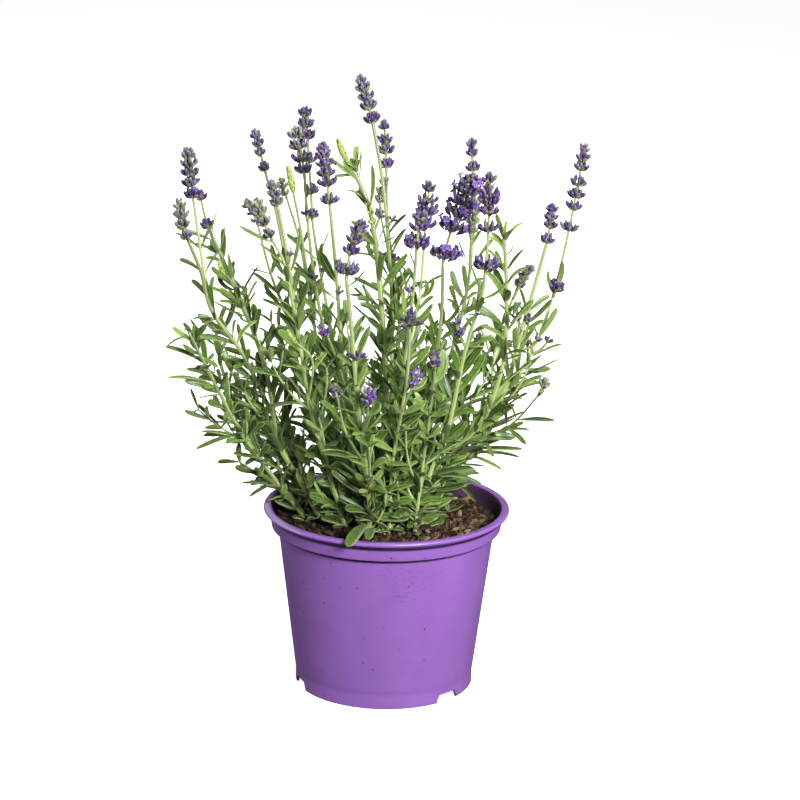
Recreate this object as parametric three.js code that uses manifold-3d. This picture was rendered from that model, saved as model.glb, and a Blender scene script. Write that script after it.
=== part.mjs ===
// Potted lavender: a moulded pot, its potting soil, leafy shoots rooted in it and their flower spikes.
// Millimetres, +Z up. The origin is the middle of the pot's foot, on the surface it stands on.
import * as THREE from "three";
import { mergeVertices } from "three/addons/utils/BufferGeometryUtils.js";
import Module from "manifold-3d";

const wasm = await Module();
wasm.setup();

// Pot
const rimRadius = 75;
const potHeight = 112.2;
const beadHeight = 2.8;
const collarRadius = 71.3;
const collarTaper = 1.2;
const collarBottom = 99.4;
const bodyTopRadius = 66.1;
const bodyBottomRadius = 54.9;
const footRadius = 53.7;
const footHeight = 9.4;
const wall = 1.4;
const potSides = 40;
const notchAngles = [-160, -44, 78];
const notchWidth = 17;
const notchHeight = 5;
const drainRadius = 4;
const drainReach = 46;

// Soil
const clearance = 0.3;
const soilEdge = 103;
const soilCrown = 105;
const soilSides = 30;

// Shoots
const leafThickness = 1.1;
const leafGap = 0.35;
const stemSteps = 2;
const socketShares = [0.04, 0.12];
const spikePieces = 4;
const spikeSides = 5;
const rachisRadius = 0.8;
const stalkGap = 0.4;
const spikeBow = 0.4;

// Every shoot has its stems' routes, from the root or the parent stem to the tip, the side of the square
// stem, and the spike on its tip: the tip's place, a bend where it isn't straight, and its whorls, each
// a share of the spike's length and a radius. Leaves grow in pairs along the first stem, between two
// shares of its length.
const shoots = [
  {
    stems: [
      {
        side: 2.4,
        route: [[-38, -8, 90], [-67, -4, 127], [-89, -30, 169], [-102, -54, 204], [-114, -80, 239]],
      },
    ],
    leaves: { pairs: 7, from: 0.22, to: 0.95, length: 25 },
    single: [{ route: [[-113, -78, 236], [-119, -82, 238], [-126, -85, 232]], width: 3 }],
  },
  {
    stems: [
      {
        side: 2.6,
        route: [[-32, 14, 90], [-71, 12, 166], [-89, -8, 210], [-105, -26, 239], [-110, -42, 266], [-116, -56, 287]],
        spike: { tip: [-121, -60, 312], whorls: [[0.17, 3.6], [0.46, 4.8], [0.68, 4.9], [0.88, 3.8]] },
      },
      {
        side: 2,
        route: [[-105, -26, 239], [-111, -16, 266], [-117, -8, 302]],
        spike: { tip: [-120, -8, 331], whorls: [[0.12, 5.3], [0.35, 5.6], [0.55, 5.6], [0.73, 5.6], [0.9, 4.4]] },
      },
    ],
    leaves: { pairs: 7, from: 0.2, to: 0.72, length: 28 },
  },
  {
    stems: [
      {
        side: 2.8,
        route: [[-30, -14, 90], [-51, -8, 126], [-65, -3, 150], [-74, 4, 194], [-90, 12, 236], [-109, 20, 276]],
        spike: { tip: [-115, 21, 300], whorls: [[0.21, 4.2], [0.89, 4]] },
      },
      {
        side: 1.5,
        route: [[-93, 13, 242], [-97, 2, 252], [-99, -6, 256]],
        spike: { tip: [-102, -6, 265], whorls: [[0.29, 2.4], [0.64, 2.2]] },
      },
    ],
    leaves: { pairs: 10, from: 0.14, to: 0.93, length: 27 },
  },
  {
    stems: [
      {
        side: 2.4,
        route: [[-30, 30, 90], [-64, 35, 125], [-90, 45, 152], [-104, 54, 181], [-109, 62, 207]],
      },
    ],
    leaves: { pairs: 7, from: 0.25, to: 0.97, length: 26 },
  },
  {
    stems: [
      {
        side: 2.6,
        route: [[-20, -24, 90], [-35, -26, 142], [-44, -28, 172], [-52, -30, 217], [-59, -32, 267], [-66, -34, 304]],
        spike: { tip: [-70, -34, 319], whorls: [[0.19, 4.2], [0.5, 4.2], [0.77, 3.8]] },
      },
      {
        side: 1.8,
        route: [[-55, -31, 236], [-62, -40, 272], [-69, -45, 287]],
        spike: { tip: [-78, -45, 310], whorls: [[0.15, 3.8], [0.46, 4.6], [0.69, 4.8], [0.87, 4]] },
      },
      {
        side: 1.5,
        route: [[-47, -28, 185], [-45, -41, 214], [-54, -52, 227]],
        spike: { tip: [-59, -52, 234], whorls: [[0.33, 2.6], [0.67, 2.8]] },
      },
    ],
    leaves: { pairs: 7, from: 0.12, to: 0.75, length: 27 },
  },
  {
    stems: [
      {
        side: 2.2,
        route: [[-24, 36, 90], [-39, 40, 141], [-57, 51, 208], [-71, 62, 278], [-78, 66, 303]],
        spike: { tip: [-85, 66, 330], whorls: [[0.16, 3.6], [0.5, 3.5], [0.7, 3.8], [0.89, 3.4]] },
      },
      {
        side: 1.8,
        route: [[-55, 50, 201], [-72, 37, 243], [-81, 30, 279]],
        spike: { tip: [-89, 30, 294], whorls: [[0.24, 3.2], [0.52, 3.4], [0.8, 3.4]] },
      },
    ],
    leaves: { pairs: 7, from: 0.15, to: 0.66, length: 26 },
  },
  {
    stems: [
      {
        side: 2,
        route: [[-12, 20, 90], [-33, 22, 159], [-46, 8, 225], [-53, -4, 280], [-58, -10, 308]],
        spike: { tip: [-61, -10, 322], whorls: [[0.26, 2.5], [0.57, 2.6], [0.78, 2.2]] },
      },
      {
        side: 1.8,
        route: [[-46, 8, 225], [-55, 14, 273], [-63, 12, 300]],
        spike: { tip: [-67, 12, 312], whorls: [[0.25, 2.9], [0.55, 3.2], [0.8, 2.9]] },
      },
    ],
    leaves: { pairs: 7, from: 0.15, to: 0.7, length: 25 },
  },
  {
    stems: [
      {
        side: 2.2,
        route: [[-12, -2, 90], [-29, 0, 178], [-42, 2, 233], [-49, 4, 279], [-52, 6, 314]],
        spike: { tip: [-58, 6, 344], whorls: [[0.16, 5.8], [0.38, 6.6], [0.62, 6.4], [0.84, 5.6]] },
      },
    ],
    leaves: { pairs: 7, from: 0.15, to: 0.6, length: 26 },
  },
  {
    stems: [
      {
        side: 2.2,
        route: [[-14, 40, 90], [-28, 44, 166], [-40, 52, 227], [-47, 56, 264], [-49, 58, 277]],
        spike: {
          tip: [-54, 58, 346],
          bend: [-50, 58, 301],
          whorls: [[0.05, 4.4], [0.27, 5.4], [0.55, 5.6], [0.76, 5.2], [0.86, 5.2], [0.95, 4.2]],
        },
      },
    ],
    leaves: { pairs: 7, from: 0.15, to: 0.65, length: 27 },
  },
  {
    stems: [
      {
        side: 2.6,
        route: [[-14, -16, 90], [-23, -18, 171], [-28, -19, 214], [-32, -21, 263], [-36, -22, 302]],
        spike: {
          tip: [-41, -22, 338],
          whorls: [[0.13, 6.2], [0.41, 6.2], [0.56, 5.6], [0.7, 5.4], [0.84, 4.8], [0.93, 3.6]],
        },
      },
      {
        side: 1.5,
        route: [[-25, -18, 188], [-32, -40, 218], [-36, -48, 230]],
        spike: { tip: [-41, -48, 237], whorls: [[0.33, 3.4], [0.75, 3]] },
      },
    ],
    leaves: { pairs: 7, from: 0.12, to: 0.66, length: 27 },
  },
  {
    stems: [
      {
        side: 3,
        route: [[-10, -30, 90], [-10, -36, 127], [-15, -44, 166], [-19, -53, 208], [-24, -64, 261], [-25, -66, 269]],
        spike: {
          tip: [-16, -66, 302],
          bend: [-24, -66, 288],
          whorls: [[0.16, 7.2], [0.49, 5.4], [0.68, 5.2], [0.84, 5], [0.95, 4]],
        },
      },
      {
        side: 1.4,
        route: [[-13, -41, 150], [-24, -54, 173], [-29, -66, 197]],
        spike: { tip: [-32, -66, 206], whorls: [[0.33, 3], [0.67, 3]] },
      },
      {
        side: 1.4,
        route: [[-15, -44, 166], [-12, -56, 185], [-11, -62, 193]],
        spike: { tip: [-12, -62, 204], whorls: [[0.35, 4.4], [0.71, 4.8]] },
      },
    ],
    leaves: { pairs: 6, from: 0.14, to: 0.62, length: 30 },
    single: [{ route: [[-10, -33, 110], [-17, -58, 117.5], [-21.5, -82, 112.5]], width: 8.4 }],
  },
  {
    stems: [
      {
        side: 3.4,
        route: [[2, -2, 90], [0, 0, 153], [-2, 1, 196], [-7, 2, 255], [-13, 3, 295], [-21, 4, 314], [-27, 4, 324]],
        spike: { tip: [-32, 4, 336], whorls: [[0.24, 2.8], [0.52, 2.9], [0.76, 2.4]] },
      },
    ],
    leaves: { pairs: 10, from: 0.1, to: 0.96, length: 27 },
  },
  {
    stems: [
      {
        side: 2.4,
        route: [[4, 16, 90], [2, 16, 174], [1, 13, 237], [-3, 11, 288], [-7, 9, 319], [-12, 8, 346]],
        spike: {
          tip: [-20, 8, 373],
          whorls: [[0.13, 5.2], [0.4, 5.2], [0.58, 5], [0.78, 4.8], [0.93, 3.4]],
        },
      },
    ],
    leaves: { pairs: 7, from: 0.12, to: 0.62, length: 27 },
  },
  {
    stems: [
      {
        side: 2,
        route: [[8, 34, 90], [6, 42, 167], [5, 58, 226], [-2, 70, 268], [-4, 80, 304]],
        spike: { tip: [-6, 80, 336], whorls: [[0.14, 5], [0.41, 5.8], [0.59, 4.8], [0.86, 3.4]] },
      },
      {
        side: 1.6,
        route: [[5, 56, 219], [-2, 62, 256], [-7, 66, 278]],
        spike: { tip: [-4, 66, 303], whorls: [[0.13, 2.6], [0.42, 3.4], [0.61, 3.6], [0.84, 3.2]] },
      },
    ],
    leaves: { pairs: 7, from: 0.15, to: 0.65, length: 26 },
  },
  {
    stems: [
      {
        side: 2.4,
        route: [[10, -16, 90], [5, -20, 166], [9, -31, 206], [13, -42, 248], [15, -52, 284]],
        spike: { tip: [17, -52, 306], whorls: [[0.19, 8.2], [0.62, 6], [0.86, 5]] },
      },
      {
        side: 2.2,
        route: [[9, -31, 206], [17, -21, 244], [20, -14, 284]],
        spike: { tip: [22, -14, 317], whorls: [[0.22, 6.6], [0.44, 7.2], [0.65, 6.4], [0.85, 4.4]] },
      },
    ],
    leaves: { pairs: 7, from: 0.14, to: 0.6, length: 28 },
  },
  {
    stems: [
      {
        side: 2.6,
        route: [[14, 2, 90], [16, 0, 160], [27, -2, 198], [31, -4, 236], [31, -6, 266]],
        spike: {
          tip: [49, -6, 320],
          bend: [33, -6, 284],
          whorls: [[0.09, 9.6], [0.38, 8.8], [0.54, 8.8], [0.67, 8.4], [0.8, 7.4], [0.92, 5.2]],
        },
      },
    ],
    leaves: { pairs: 7, from: 0.12, to: 0.72, length: 28 },
  },
  {
    stems: [
      {
        side: 2.2,
        route: [[18, 22, 90], [24, 24, 159], [38, 23, 204], [47, 23, 245], [48, 22, 275]],
        spike: { tip: [51, 22, 299], whorls: [[0.23, 4], [0.46, 4.8], [0.69, 4.6], [0.87, 3.6]] },
      },
      {
        side: 1.7,
        route: [[37, 24, 198], [48, 50, 242], [51, 70, 276], [50, 82, 301]],
        spike: { tip: [48, 82, 325], whorls: [[0.24, 4.6], [0.59, 3.7], [0.81, 3.6]] },
      },
    ],
    leaves: { pairs: 7, from: 0.14, to: 0.74, length: 28 },
  },
  {
    stems: [
      {
        side: 2.8,
        route: [[20, -14, 90], [26, -16, 137], [35, -22, 163], [45, -35, 220], [54, -44, 258], [55, -46, 269]],
        spike: {
          tip: [56, -46, 329],
          bend: [57, -46, 293],
          whorls: [[0.09, 7.8], [0.46, 6.4], [0.62, 6.2], [0.72, 7], [0.81, 6], [0.92, 4.4]],
        },
      },
    ],
    leaves: { pairs: 7, from: 0.12, to: 0.86, length: 28 },
  },
  {
    stems: [
      {
        side: 3.2,
        route: [[24, 14, 90], [36, 18, 128], [54, 21, 144], [71, 25, 179], [82, 29, 221], [94, 34, 268]],
        spike: { tip: [97, 34, 295], whorls: [[0.18, 5], [0.5, 4.4], [0.68, 4.4], [0.86, 3.8]] },
      },
      {
        side: 2.6,
        route: [[68, 24, 173], [86, 46, 194], [98, 63, 219], [102, 70, 231]],
        spike: {
          tip: [119, 82, 323],
          bend: [109, 76, 256],
          whorls: [
            [0.06, 5.2], [0.44, 6.4], [0.58, 5.6], [0.66, 5.8], [0.74, 5.4], [0.84, 5], [0.9, 4.4],
            [0.96, 3.2],
          ],
        },
      },
      {
        side: 1.5,
        route: [[55, 21, 146], [75, -13, 169], [89, -40, 195]],
        spike: { tip: [93, -40, 206], whorls: [[0.28, 2.2], [0.61, 3.8]] },
      },
    ],
    leaves: { pairs: 10, from: 0.16, to: 0.78, length: 29 },
  },
  {
    stems: [
      {
        side: 2.6,
        route: [[26, -2, 90], [35, 0, 138], [57, -6, 169], [68, -11, 204], [69, -17, 246], [66, -24, 289]],
      },
    ],
    leaves: { pairs: 10, from: 0.15, to: 0.97, length: 27 },
  },
  {
    stems: [
      {
        side: 2,
        route: [[16, 38, 90], [32, 44, 141], [49, 49, 172], [68, 56, 209], [78, 60, 234]],
        spike: { tip: [88, 60, 250], whorls: [[0.24, 3.6], [0.52, 3.8], [0.8, 3.4]] },
      },
    ],
    leaves: { pairs: 7, from: 0.15, to: 0.85, length: 27 },
  },
  {
    stems: [
      {
        side: 1.8,
        route: [[2, -30, 90], [3, -36, 145], [8, -61, 187], [14, -74, 208]],
        spike: { tip: [17, -74, 218], whorls: [[0.33, 3.6], [0.67, 3.8]] },
      },
      {
        side: 2,
        route: [[4, -41, 156], [11, -52, 208], [12, -62, 240]],
        spike: { tip: [12, -64, 252], whorls: [[0.38, 6.6], [0.71, 3.4]] },
      },
    ],
    leaves: { pairs: 6, from: 0.16, to: 0.8, length: 25 },
  },
  {
    stems: [
      {
        side: 1.8,
        route: [[16, -30, 90], [22, -34, 153], [25, -48, 186], [27, -64, 216]],
        spike: { tip: [26, -65, 227], whorls: [[0.37, 3.6], [0.68, 3.6]] },
      },
    ],
    leaves: { pairs: 6, from: 0.16, to: 0.85, length: 26 },
  },
];

const purplePlastic = new THREE.MeshStandardMaterial({ color: 0x8e57b8, roughness: 0.42, metalness: 0 });
const barkSoil = new THREE.MeshStandardMaterial({ color: 0x3b2a20, roughness: 0.95, metalness: 0 });
const greenLeaf = new THREE.MeshStandardMaterial({ color: 0x6f8f48, roughness: 0.65, metalness: 0 });
const violetCalyx = new THREE.MeshStandardMaterial({ color: 0x54388c, roughness: 0.7, metalness: 0 });

// Turns a closed geometry into a solid that can be joined and cut.
function toSolid(geometry) {
  const bare = geometry.clone();
  bare.deleteAttribute("normal");
  bare.deleteAttribute("uv");
  const merged = mergeVertices(bare, 1e-4);
  const vertProperties = new Float32Array(merged.attributes.position.array);
  const triVerts = new Uint32Array(merged.index.array);
  return new wasm.Manifold(new wasm.Mesh({ numProp: 3, vertProperties, triVerts }));
}

// Leaves that cross can shut in a pocket of air, which is filled by keeping the outer surface alone.
function outerBody(solid) {
  return solid.decompose().reduce((best, part) => (part.volume() > best.volume() ? part : best));
}

function toGeometry(solid) {
  const mesh = solid.getMesh();
  const geometry = new THREE.BufferGeometry();
  geometry.setAttribute("position", new THREE.BufferAttribute(mesh.vertProperties, 3));
  geometry.setIndex(new THREE.BufferAttribute(mesh.triVerts, 1));
  geometry.computeVertexNormals();
  return geometry;
}

function vector(point) {
  return new THREE.Vector3(...point);
}

// A repeatable number from 0 to 1 for a shoot, a leaf pair and a use.
function scatter(shoot, pair, use) {
  const wave = Math.sin(shoot * 12.9898 + pair * 78.233 + use * 37.719) * 43758.5453;
  return wave - Math.floor(wave);
}

// Lathes a closed outline, given as [radius, height] pairs, around the pot's axis.
function turned(outline, sides) {
  const points = outline.map(([radius, height]) => new THREE.Vector2(radius, height));
  const geometry = new THREE.LatheGeometry(points, sides);
  geometry.rotateX(Math.PI / 2);
  return toSolid(geometry);
}

function bodyRadius(height) {
  const share = (height - footHeight) / (collarBottom - footHeight);
  return bodyBottomRadius + (bodyTopRadius - bodyBottomRadius) * share;
}

function potOutline() {
  const beadBottom = potHeight - beadHeight;
  const floorTop = footHeight;
  const outside = [
    [0, floorTop - wall],
    [footRadius - wall - 0.4, floorTop - wall],
    [footRadius - wall - 0.4, 0.4],
    [footRadius - wall, 0],
    [footRadius - 0.5, 0],
    [footRadius - 0.1, 0.5],
    [footRadius, footHeight - 0.8],
    [bodyRadius(footHeight + 1), footHeight + 1],
    [bodyRadius(collarBottom - 1), collarBottom - 1],
    [collarRadius - collarTaper - 0.5, collarBottom - 0.4],
    [collarRadius - collarTaper, collarBottom + 0.2],
    [collarRadius, beadBottom],
  ];
  const bead = [0, 45, 90, 135].map((angle) => {
    const turn = THREE.MathUtils.degToRad(angle - 60);
    const radius = beadHeight / 2;
    return [rimRadius - radius + radius * Math.cos(turn), potHeight - radius + radius * Math.sin(turn)];
  });
  const inside = [
    [collarRadius - wall + 0.6, potHeight],
    [collarRadius - wall + 0.1, potHeight - 0.8],
    [collarRadius - wall, beadBottom],
    [collarRadius - collarTaper - wall, collarBottom + wall],
    [bodyRadius(collarBottom) - wall, collarBottom + wall - 0.8],
    [bodyRadius(floorTop + 1) - wall, floorTop + 1],
    [bodyRadius(floorTop + 1) - wall - 0.8, floorTop],
    [0, floorTop],
  ];
  return [...outside, ...bead, ...inside];
}

// A slot through the foot ring, with a round drain hole above it in the floor.
function drainSlot(angle) {
  const slot = new THREE.BoxGeometry(16, notchWidth, notchHeight + 1);
  slot.translate(footRadius, 0, (notchHeight - 1) / 2);
  slot.rotateZ(THREE.MathUtils.degToRad(angle));
  const hole = new THREE.CylinderGeometry(drainRadius, drainRadius, 4 * wall, 12);
  hole.rotateX(Math.PI / 2);
  hole.translate(drainReach, 0, footHeight - wall / 2);
  hole.rotateZ(THREE.MathUtils.degToRad(angle));
  return toSolid(slot).add(toSolid(hole));
}

function makePot() {
  let pot = turned(potOutline(), potSides);
  for (const angle of notchAngles) {
    pot = pot.subtract(drainSlot(angle));
  }
  return pot;
}

// The soil fills the pot, a little proud in the middle, and follows the inside of the wall.
function makeSoil(sockets) {
  const bottom = footHeight + clearance;
  const shelf = collarBottom + wall;
  let soil = turned(
    [
      [0, bottom],
      [bodyRadius(bottom) - wall - 1.3, bottom],
      [bodyRadius(bottom + 1) - wall - 0.45, bottom + 1],
      [bodyRadius(collarBottom) - wall - 0.45, shelf - 0.45],
      [collarRadius - collarTaper - wall - 0.5, shelf + 0.35],
      [collarRadius - collarTaper - wall - 0.4, soilEdge],
      [46, soilEdge + 0.9],
      [24, soilCrown],
      [0, soilCrown],
    ],
    soilSides
  );
  for (const socket of sockets) {
    soil = soil.subtract(socket);
  }
  return soil;
}

// A square stem swept along its route.
function sweptStem(route, side) {
  const half = side / 2;
  const square = new THREE.Shape([
    new THREE.Vector2(-half, -half),
    new THREE.Vector2(half, -half),
    new THREE.Vector2(half, half),
    new THREE.Vector2(-half, half),
  ]);
  const extrudePath = new THREE.CatmullRomCurve3(route.map(vector));
  const steps = (route.length - 1) * stemSteps;
  return toSolid(new THREE.ExtrudeGeometry(square, { steps, extrudePath, bevelEnabled: false }));
}

// The hole in the soil that a stem's foot stands in, wider and deeper than the stem by the clearance.
function rootSocket({ route, side }) {
  const foot = vector(route[0]);
  const above = vector(route[1]);
  const down = foot.clone().sub(above).normalize();
  const start = foot.addScaledVector(down, clearance + side);
  const curve = new THREE.CatmullRomCurve3(route.map(vector));
  const path = [start.toArray(), ...socketShares.map((share) => curve.getPoint(share).toArray())];
  return sweptStem(path, side + 2 * clearance + 0.4);
}

// A narrow blunt blade along a curve: a stretched sphere, flat across and bent to the curve.
function bladeSolid({ route, width }) {
  const curve = new THREE.QuadraticBezierCurve3(...route.map(vector));
  const blade = new THREE.SphereGeometry(1, 3, 3);
  const position = blade.attributes.position;
  const upright = new THREE.Vector3(0, 0, 1);
  for (let i = 0; i < position.count; i += 1) {
    const share = (1 - position.getY(i)) / 2;
    const along = curve.getTangent(share);
    const across = along.clone().cross(upright).normalize();
    const face = along.clone().cross(across);
    const point = curve.getPoint(share);
    point.addScaledVector(across, (position.getX(i) * width) / 2);
    point.addScaledVector(face, (position.getZ(i) * leafThickness) / 2);
    position.setXYZ(i, point.x, point.y, point.z);
  }
  return toSolid(blade);
}

// The shortest distance between two straight pieces, each from a to b.
function pieceGap(one, other) {
  const first = one.b.clone().sub(one.a);
  const second = other.b.clone().sub(other.a);
  const between = one.a.clone().sub(other.a);
  const ff = first.dot(first);
  const ss = second.dot(second);
  const fs = first.dot(second);
  const spread = ff * ss - fs * fs;
  const aim = spread > 1e-9 ? (fs * second.dot(between) - ss * first.dot(between)) / spread : 0;
  let s = THREE.MathUtils.clamp(aim, 0, 1);
  const t = THREE.MathUtils.clamp((fs * s + second.dot(between)) / ss, 0, 1);
  s = THREE.MathUtils.clamp((fs * t - first.dot(between)) / ff, 0, 1);
  const onFirst = one.a.clone().addScaledVector(first, s);
  const onSecond = other.a.clone().addScaledVector(second, t);
  return onFirst.distanceTo(onSecond);
}

function curvePieces(curve, count, radius, shoot) {
  const points = curve.getPoints(count);
  return points.slice(1).map((b, i) => ({ a: points[i], b, radius, shoot }));
}

function clearOfPot(point, reach) {
  const radius = Math.hypot(point.x, point.y);
  const overSoil = point.z > soilCrown + reach + 0.5;
  const insideWall = radius < collarRadius - wall - collarTaper - reach;
  const beyondRim = radius > rimRadius + reach + 0.5;
  const overRim = point.z > potHeight + reach + 0.5;
  return overSoil && (overRim || insideWall || beyondRim);
}

// Stems and spikes stand where they are, and leaves keep clear of those of the other shoots.
const taken = [];

function isClear(pieces) {
  const apart = (one, other) => pieceGap(one, other) > one.radius + other.radius + leafGap;
  const free = pieces.every((piece) => taken.every((old) => old.shoot === piece.shoot || apart(piece, old)));
  const high = pieces.every((piece) => clearOfPot(piece.b, piece.radius));
  return free && high;
}

// One leaf of a pair, leaving the stem at a steep angle and arching outwards.
function leafRoute(at, along, outward, length, lift) {
  const middle = at.clone().addScaledVector(along, length * 0.42 * lift);
  middle.addScaledVector(outward, length * 0.34);
  const end = at.clone().addScaledVector(along, length * 0.62 * lift);
  end.addScaledVector(outward, length * (1.12 - 0.4 * lift));
  end.z -= length * 0.06;
  return [at.toArray(), middle.toArray(), end.toArray()];
}

function growLeaves(shoot, number) {
  const { stems, leaves, single = [] } = shoot;
  const stem = new THREE.CatmullRomCurve3(stems[0].route.map(vector));
  const blades = single.map((leaf) => ({ ...leaf, fixed: true }));
  for (let pair = 0; pair < leaves.pairs; pair += 1) {
    const share = pair / (leaves.pairs - 1);
    const place = leaves.from + (leaves.to - leaves.from) * share;
    const at = stem.getPointAt(place);
    const along = stem.getTangentAt(place);
    const swell = 0.3 * Math.sin(Math.PI * Math.min(1, share + 0.15));
    const size = leaves.length * (0.82 + swell - 0.28 * share);
    const width = 4.6 - 1.8 * share;
    for (const half of [0, 1]) {
      for (let attempt = 0; attempt < 9; attempt += 1) {
        const crossed = (pair % 2) * (Math.PI / 2) + half * Math.PI;
        const turn = crossed + number + 0.8 * (scatter(number, pair, half) - 0.5);
        const swing = turn + 0.22 * Math.ceil(attempt / 2) * (attempt % 2 ? 1 : -1);
        const side = new THREE.Vector3(Math.cos(swing), Math.sin(swing), 0);
        const outward = side.addScaledVector(along, -side.dot(along)).normalize();
        const lift = 0.7 + 0.5 * scatter(number, pair, half + 2) + 0.25 * share + 0.04 * attempt;
        const route = leafRoute(at, along, outward, size * (1 - 0.04 * attempt), lift);
        const curve = new THREE.QuadraticBezierCurve3(...route.map(vector));
        const pieces = curvePieces(curve, 3, width / 2, number);
        if (isClear(pieces)) {
          taken.push(...pieces);
          blades.push({ route, width });
          break;
        }
      }
    }
  }
  return blades;
}

// A spike starts just clear of its stalk and in line with it, and bows towards its tip.
function spikeCurve({ route, spike }) {
  const stem = new THREE.CatmullRomCurve3(route.map(vector));
  const end = stem.getPoint(1);
  const ahead = stem.getTangent(1);
  const tip = vector(spike.tip);
  const reach = end.distanceTo(tip);
  const bend = spike.bend ? vector(spike.bend) : end.clone().addScaledVector(ahead, reach * spikeBow);
  return new THREE.QuadraticBezierCurve3(end.addScaledVector(ahead, stalkGap), bend, tip);
}

// A spike's outline is a thin rachis with a cup at every whorl, turned and then bent to its curve.
function makeSpike(stem) {
  const curve = spikeCurve(stem);
  const length = curve.getLength();
  const { whorls } = stem.spike;
  const outline = [[0, 0], [rachisRadius, 0]];
  whorls.forEach(([share, radius], i) => {
    const below = share - (i > 0 ? whorls[i - 1][0] : 0);
    const above = (i + 1 < whorls.length ? whorls[i + 1][0] : 1) - share;
    const cup = Math.min(0.75 * radius, 0.42 * length * Math.min(below, above));
    if (i === 0 || below * length > 2.4 * cup) {
      outline.push([rachisRadius, share * length - 0.55 * cup]);
    }
    const neck = above * length > 2.4 * cup ? rachisRadius : 0.45 * radius;
    outline.push([radius, share * length + 0.35 * cup]);
    outline.push([neck, share * length + cup]);
  });
  outline.push([rachisRadius, length - 0.2], [0, length]);
  const points = outline.map(([radius, height]) => new THREE.Vector2(radius, height));
  const geometry = new THREE.LatheGeometry(points, spikeSides);
  const position = geometry.attributes.position;
  for (let i = 0; i < position.count; i += 1) {
    const share = THREE.MathUtils.clamp(position.getY(i) / length, 0, 1);
    const along = curve.getTangentAt(share);
    const across = along.clone().cross(new THREE.Vector3(0, 1, 0)).normalize();
    const third = across.clone().cross(along);
    const point = curve.getPointAt(share);
    point.addScaledVector(across, position.getX(i));
    point.addScaledVector(third, position.getZ(i));
    position.setXYZ(i, point.x, point.y, point.z);
  }
  return toSolid(geometry);
}

function reserveSpace(shoot, number) {
  for (const stem of shoot.stems) {
    const curve = new THREE.CatmullRomCurve3(stem.route.map(vector));
    taken.push(...curvePieces(curve, stem.route.length * stemSteps, stem.side * 0.7, number));
    if (stem.spike) {
      const radius = Math.max(...stem.spike.whorls.map((whorl) => whorl[1]));
      taken.push(...curvePieces(spikeCurve(stem), spikePieces, radius, `spike of ${number}`));
    }
  }
  for (const leaf of shoot.single ?? []) {
    const curve = new THREE.QuadraticBezierCurve3(...leaf.route.map(vector));
    taken.push(...curvePieces(curve, 3, leaf.width / 2, number));
  }
}

function makeShoot(shoot, number) {
  const parts = shoot.stems.map(({ route, side }) => sweptStem(route, side));
  const blades = growLeaves(shoot, number).map(bladeSolid);
  return outerBody([...parts, ...blades].reduce((whole, part) => whole.add(part)));
}

const lavender = new THREE.Group();

function place(name, solid, material) {
  const mesh = new THREE.Mesh(toGeometry(solid), material);
  mesh.name = name;
  lavender.add(mesh);
}

function numbered(word, number) {
  return `${word}_${String(number).padStart(2, "0")}`;
}

place("pot", makePot(), purplePlastic);
place("potting_soil", makeSoil(shoots.map((shoot) => rootSocket(shoot.stems[0]))), barkSoil);
shoots.forEach(reserveSpace);
let spikeNumber = 0;
shoots.forEach((shoot, number) => {
  place(numbered("shoot", number + 1), makeShoot(shoot, number), greenLeaf);
  for (const stem of shoot.stems.filter((one) => one.spike)) {
    spikeNumber += 1;
    place(numbered("flower_spike", spikeNumber), makeSpike(stem), violetCalyx);
  }
});

export default lavender;
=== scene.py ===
import math
import bpy
import bmesh
import numpy as np
from mathutils import Matrix, Vector


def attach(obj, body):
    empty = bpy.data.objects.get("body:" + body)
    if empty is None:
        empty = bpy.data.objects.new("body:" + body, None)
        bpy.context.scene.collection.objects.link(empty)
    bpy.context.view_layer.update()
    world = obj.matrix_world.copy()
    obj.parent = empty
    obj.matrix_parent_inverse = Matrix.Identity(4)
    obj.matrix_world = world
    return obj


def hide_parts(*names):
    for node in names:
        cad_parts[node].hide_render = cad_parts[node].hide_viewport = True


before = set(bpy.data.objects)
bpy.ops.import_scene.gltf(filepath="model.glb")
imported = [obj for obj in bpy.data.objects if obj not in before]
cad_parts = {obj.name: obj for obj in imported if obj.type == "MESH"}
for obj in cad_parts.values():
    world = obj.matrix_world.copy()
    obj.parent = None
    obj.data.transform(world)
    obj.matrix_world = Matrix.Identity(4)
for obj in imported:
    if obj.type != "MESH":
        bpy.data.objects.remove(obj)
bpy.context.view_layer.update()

# Lavender in flower in a moulded nursery pot. Routes and radii are in millimetres, as the
# part's own source has them, and turn to metres where a piece is made.
mm = 0.001
upright, frontward = np.array([0.0, 0.0, 1.0]), np.array([0.0, -0.86, 0.5])


# Colours and nodes

def inkOf(text):
    # an sRGB hex colour as the linear values that the shaders take
    parts = [int(text[i:i + 2], 16) / 255 for i in (1, 3, 5)]
    return (*(c / 12.92 if c <= 0.04045 else ((c + 0.055) / 1.055) ** 2.4 for c in parts), 1.0)


def plugIn(tree, node, inputs):
    # links a node or a socket to an input, or sets it to a number or a hex colour. Inputs that share
    # a name go by number: a mix has its share at 0 and its colours at 6 and 7, and a range runs from
    # 1 and 2 to 3 and 4
    for key, value in inputs.items():
        if isinstance(value, bpy.types.Node):
            value = next(socket for socket in value.outputs if socket.enabled)
        if isinstance(value, bpy.types.NodeSocket):
            tree.links.new(value, node.inputs[key])
        else:
            node.inputs[key].default_value = inkOf(value) if isinstance(value, str) else value


def addNode(tree, kind, inputs=None, stops=None, **settings):
    node = tree.nodes.new("ShaderNode" + kind)
    for key, value in settings.items():
        setattr(node, key, value)
    if stops:
        ramp = node.color_ramp
        while len(ramp.elements) < len(stops):
            ramp.elements.new(0.5)
        for element, (place, colour) in zip(ramp.elements, stops):
            element.position = place
            element.color = inkOf(colour)
    plugIn(tree, node, inputs or {})
    return node


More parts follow.
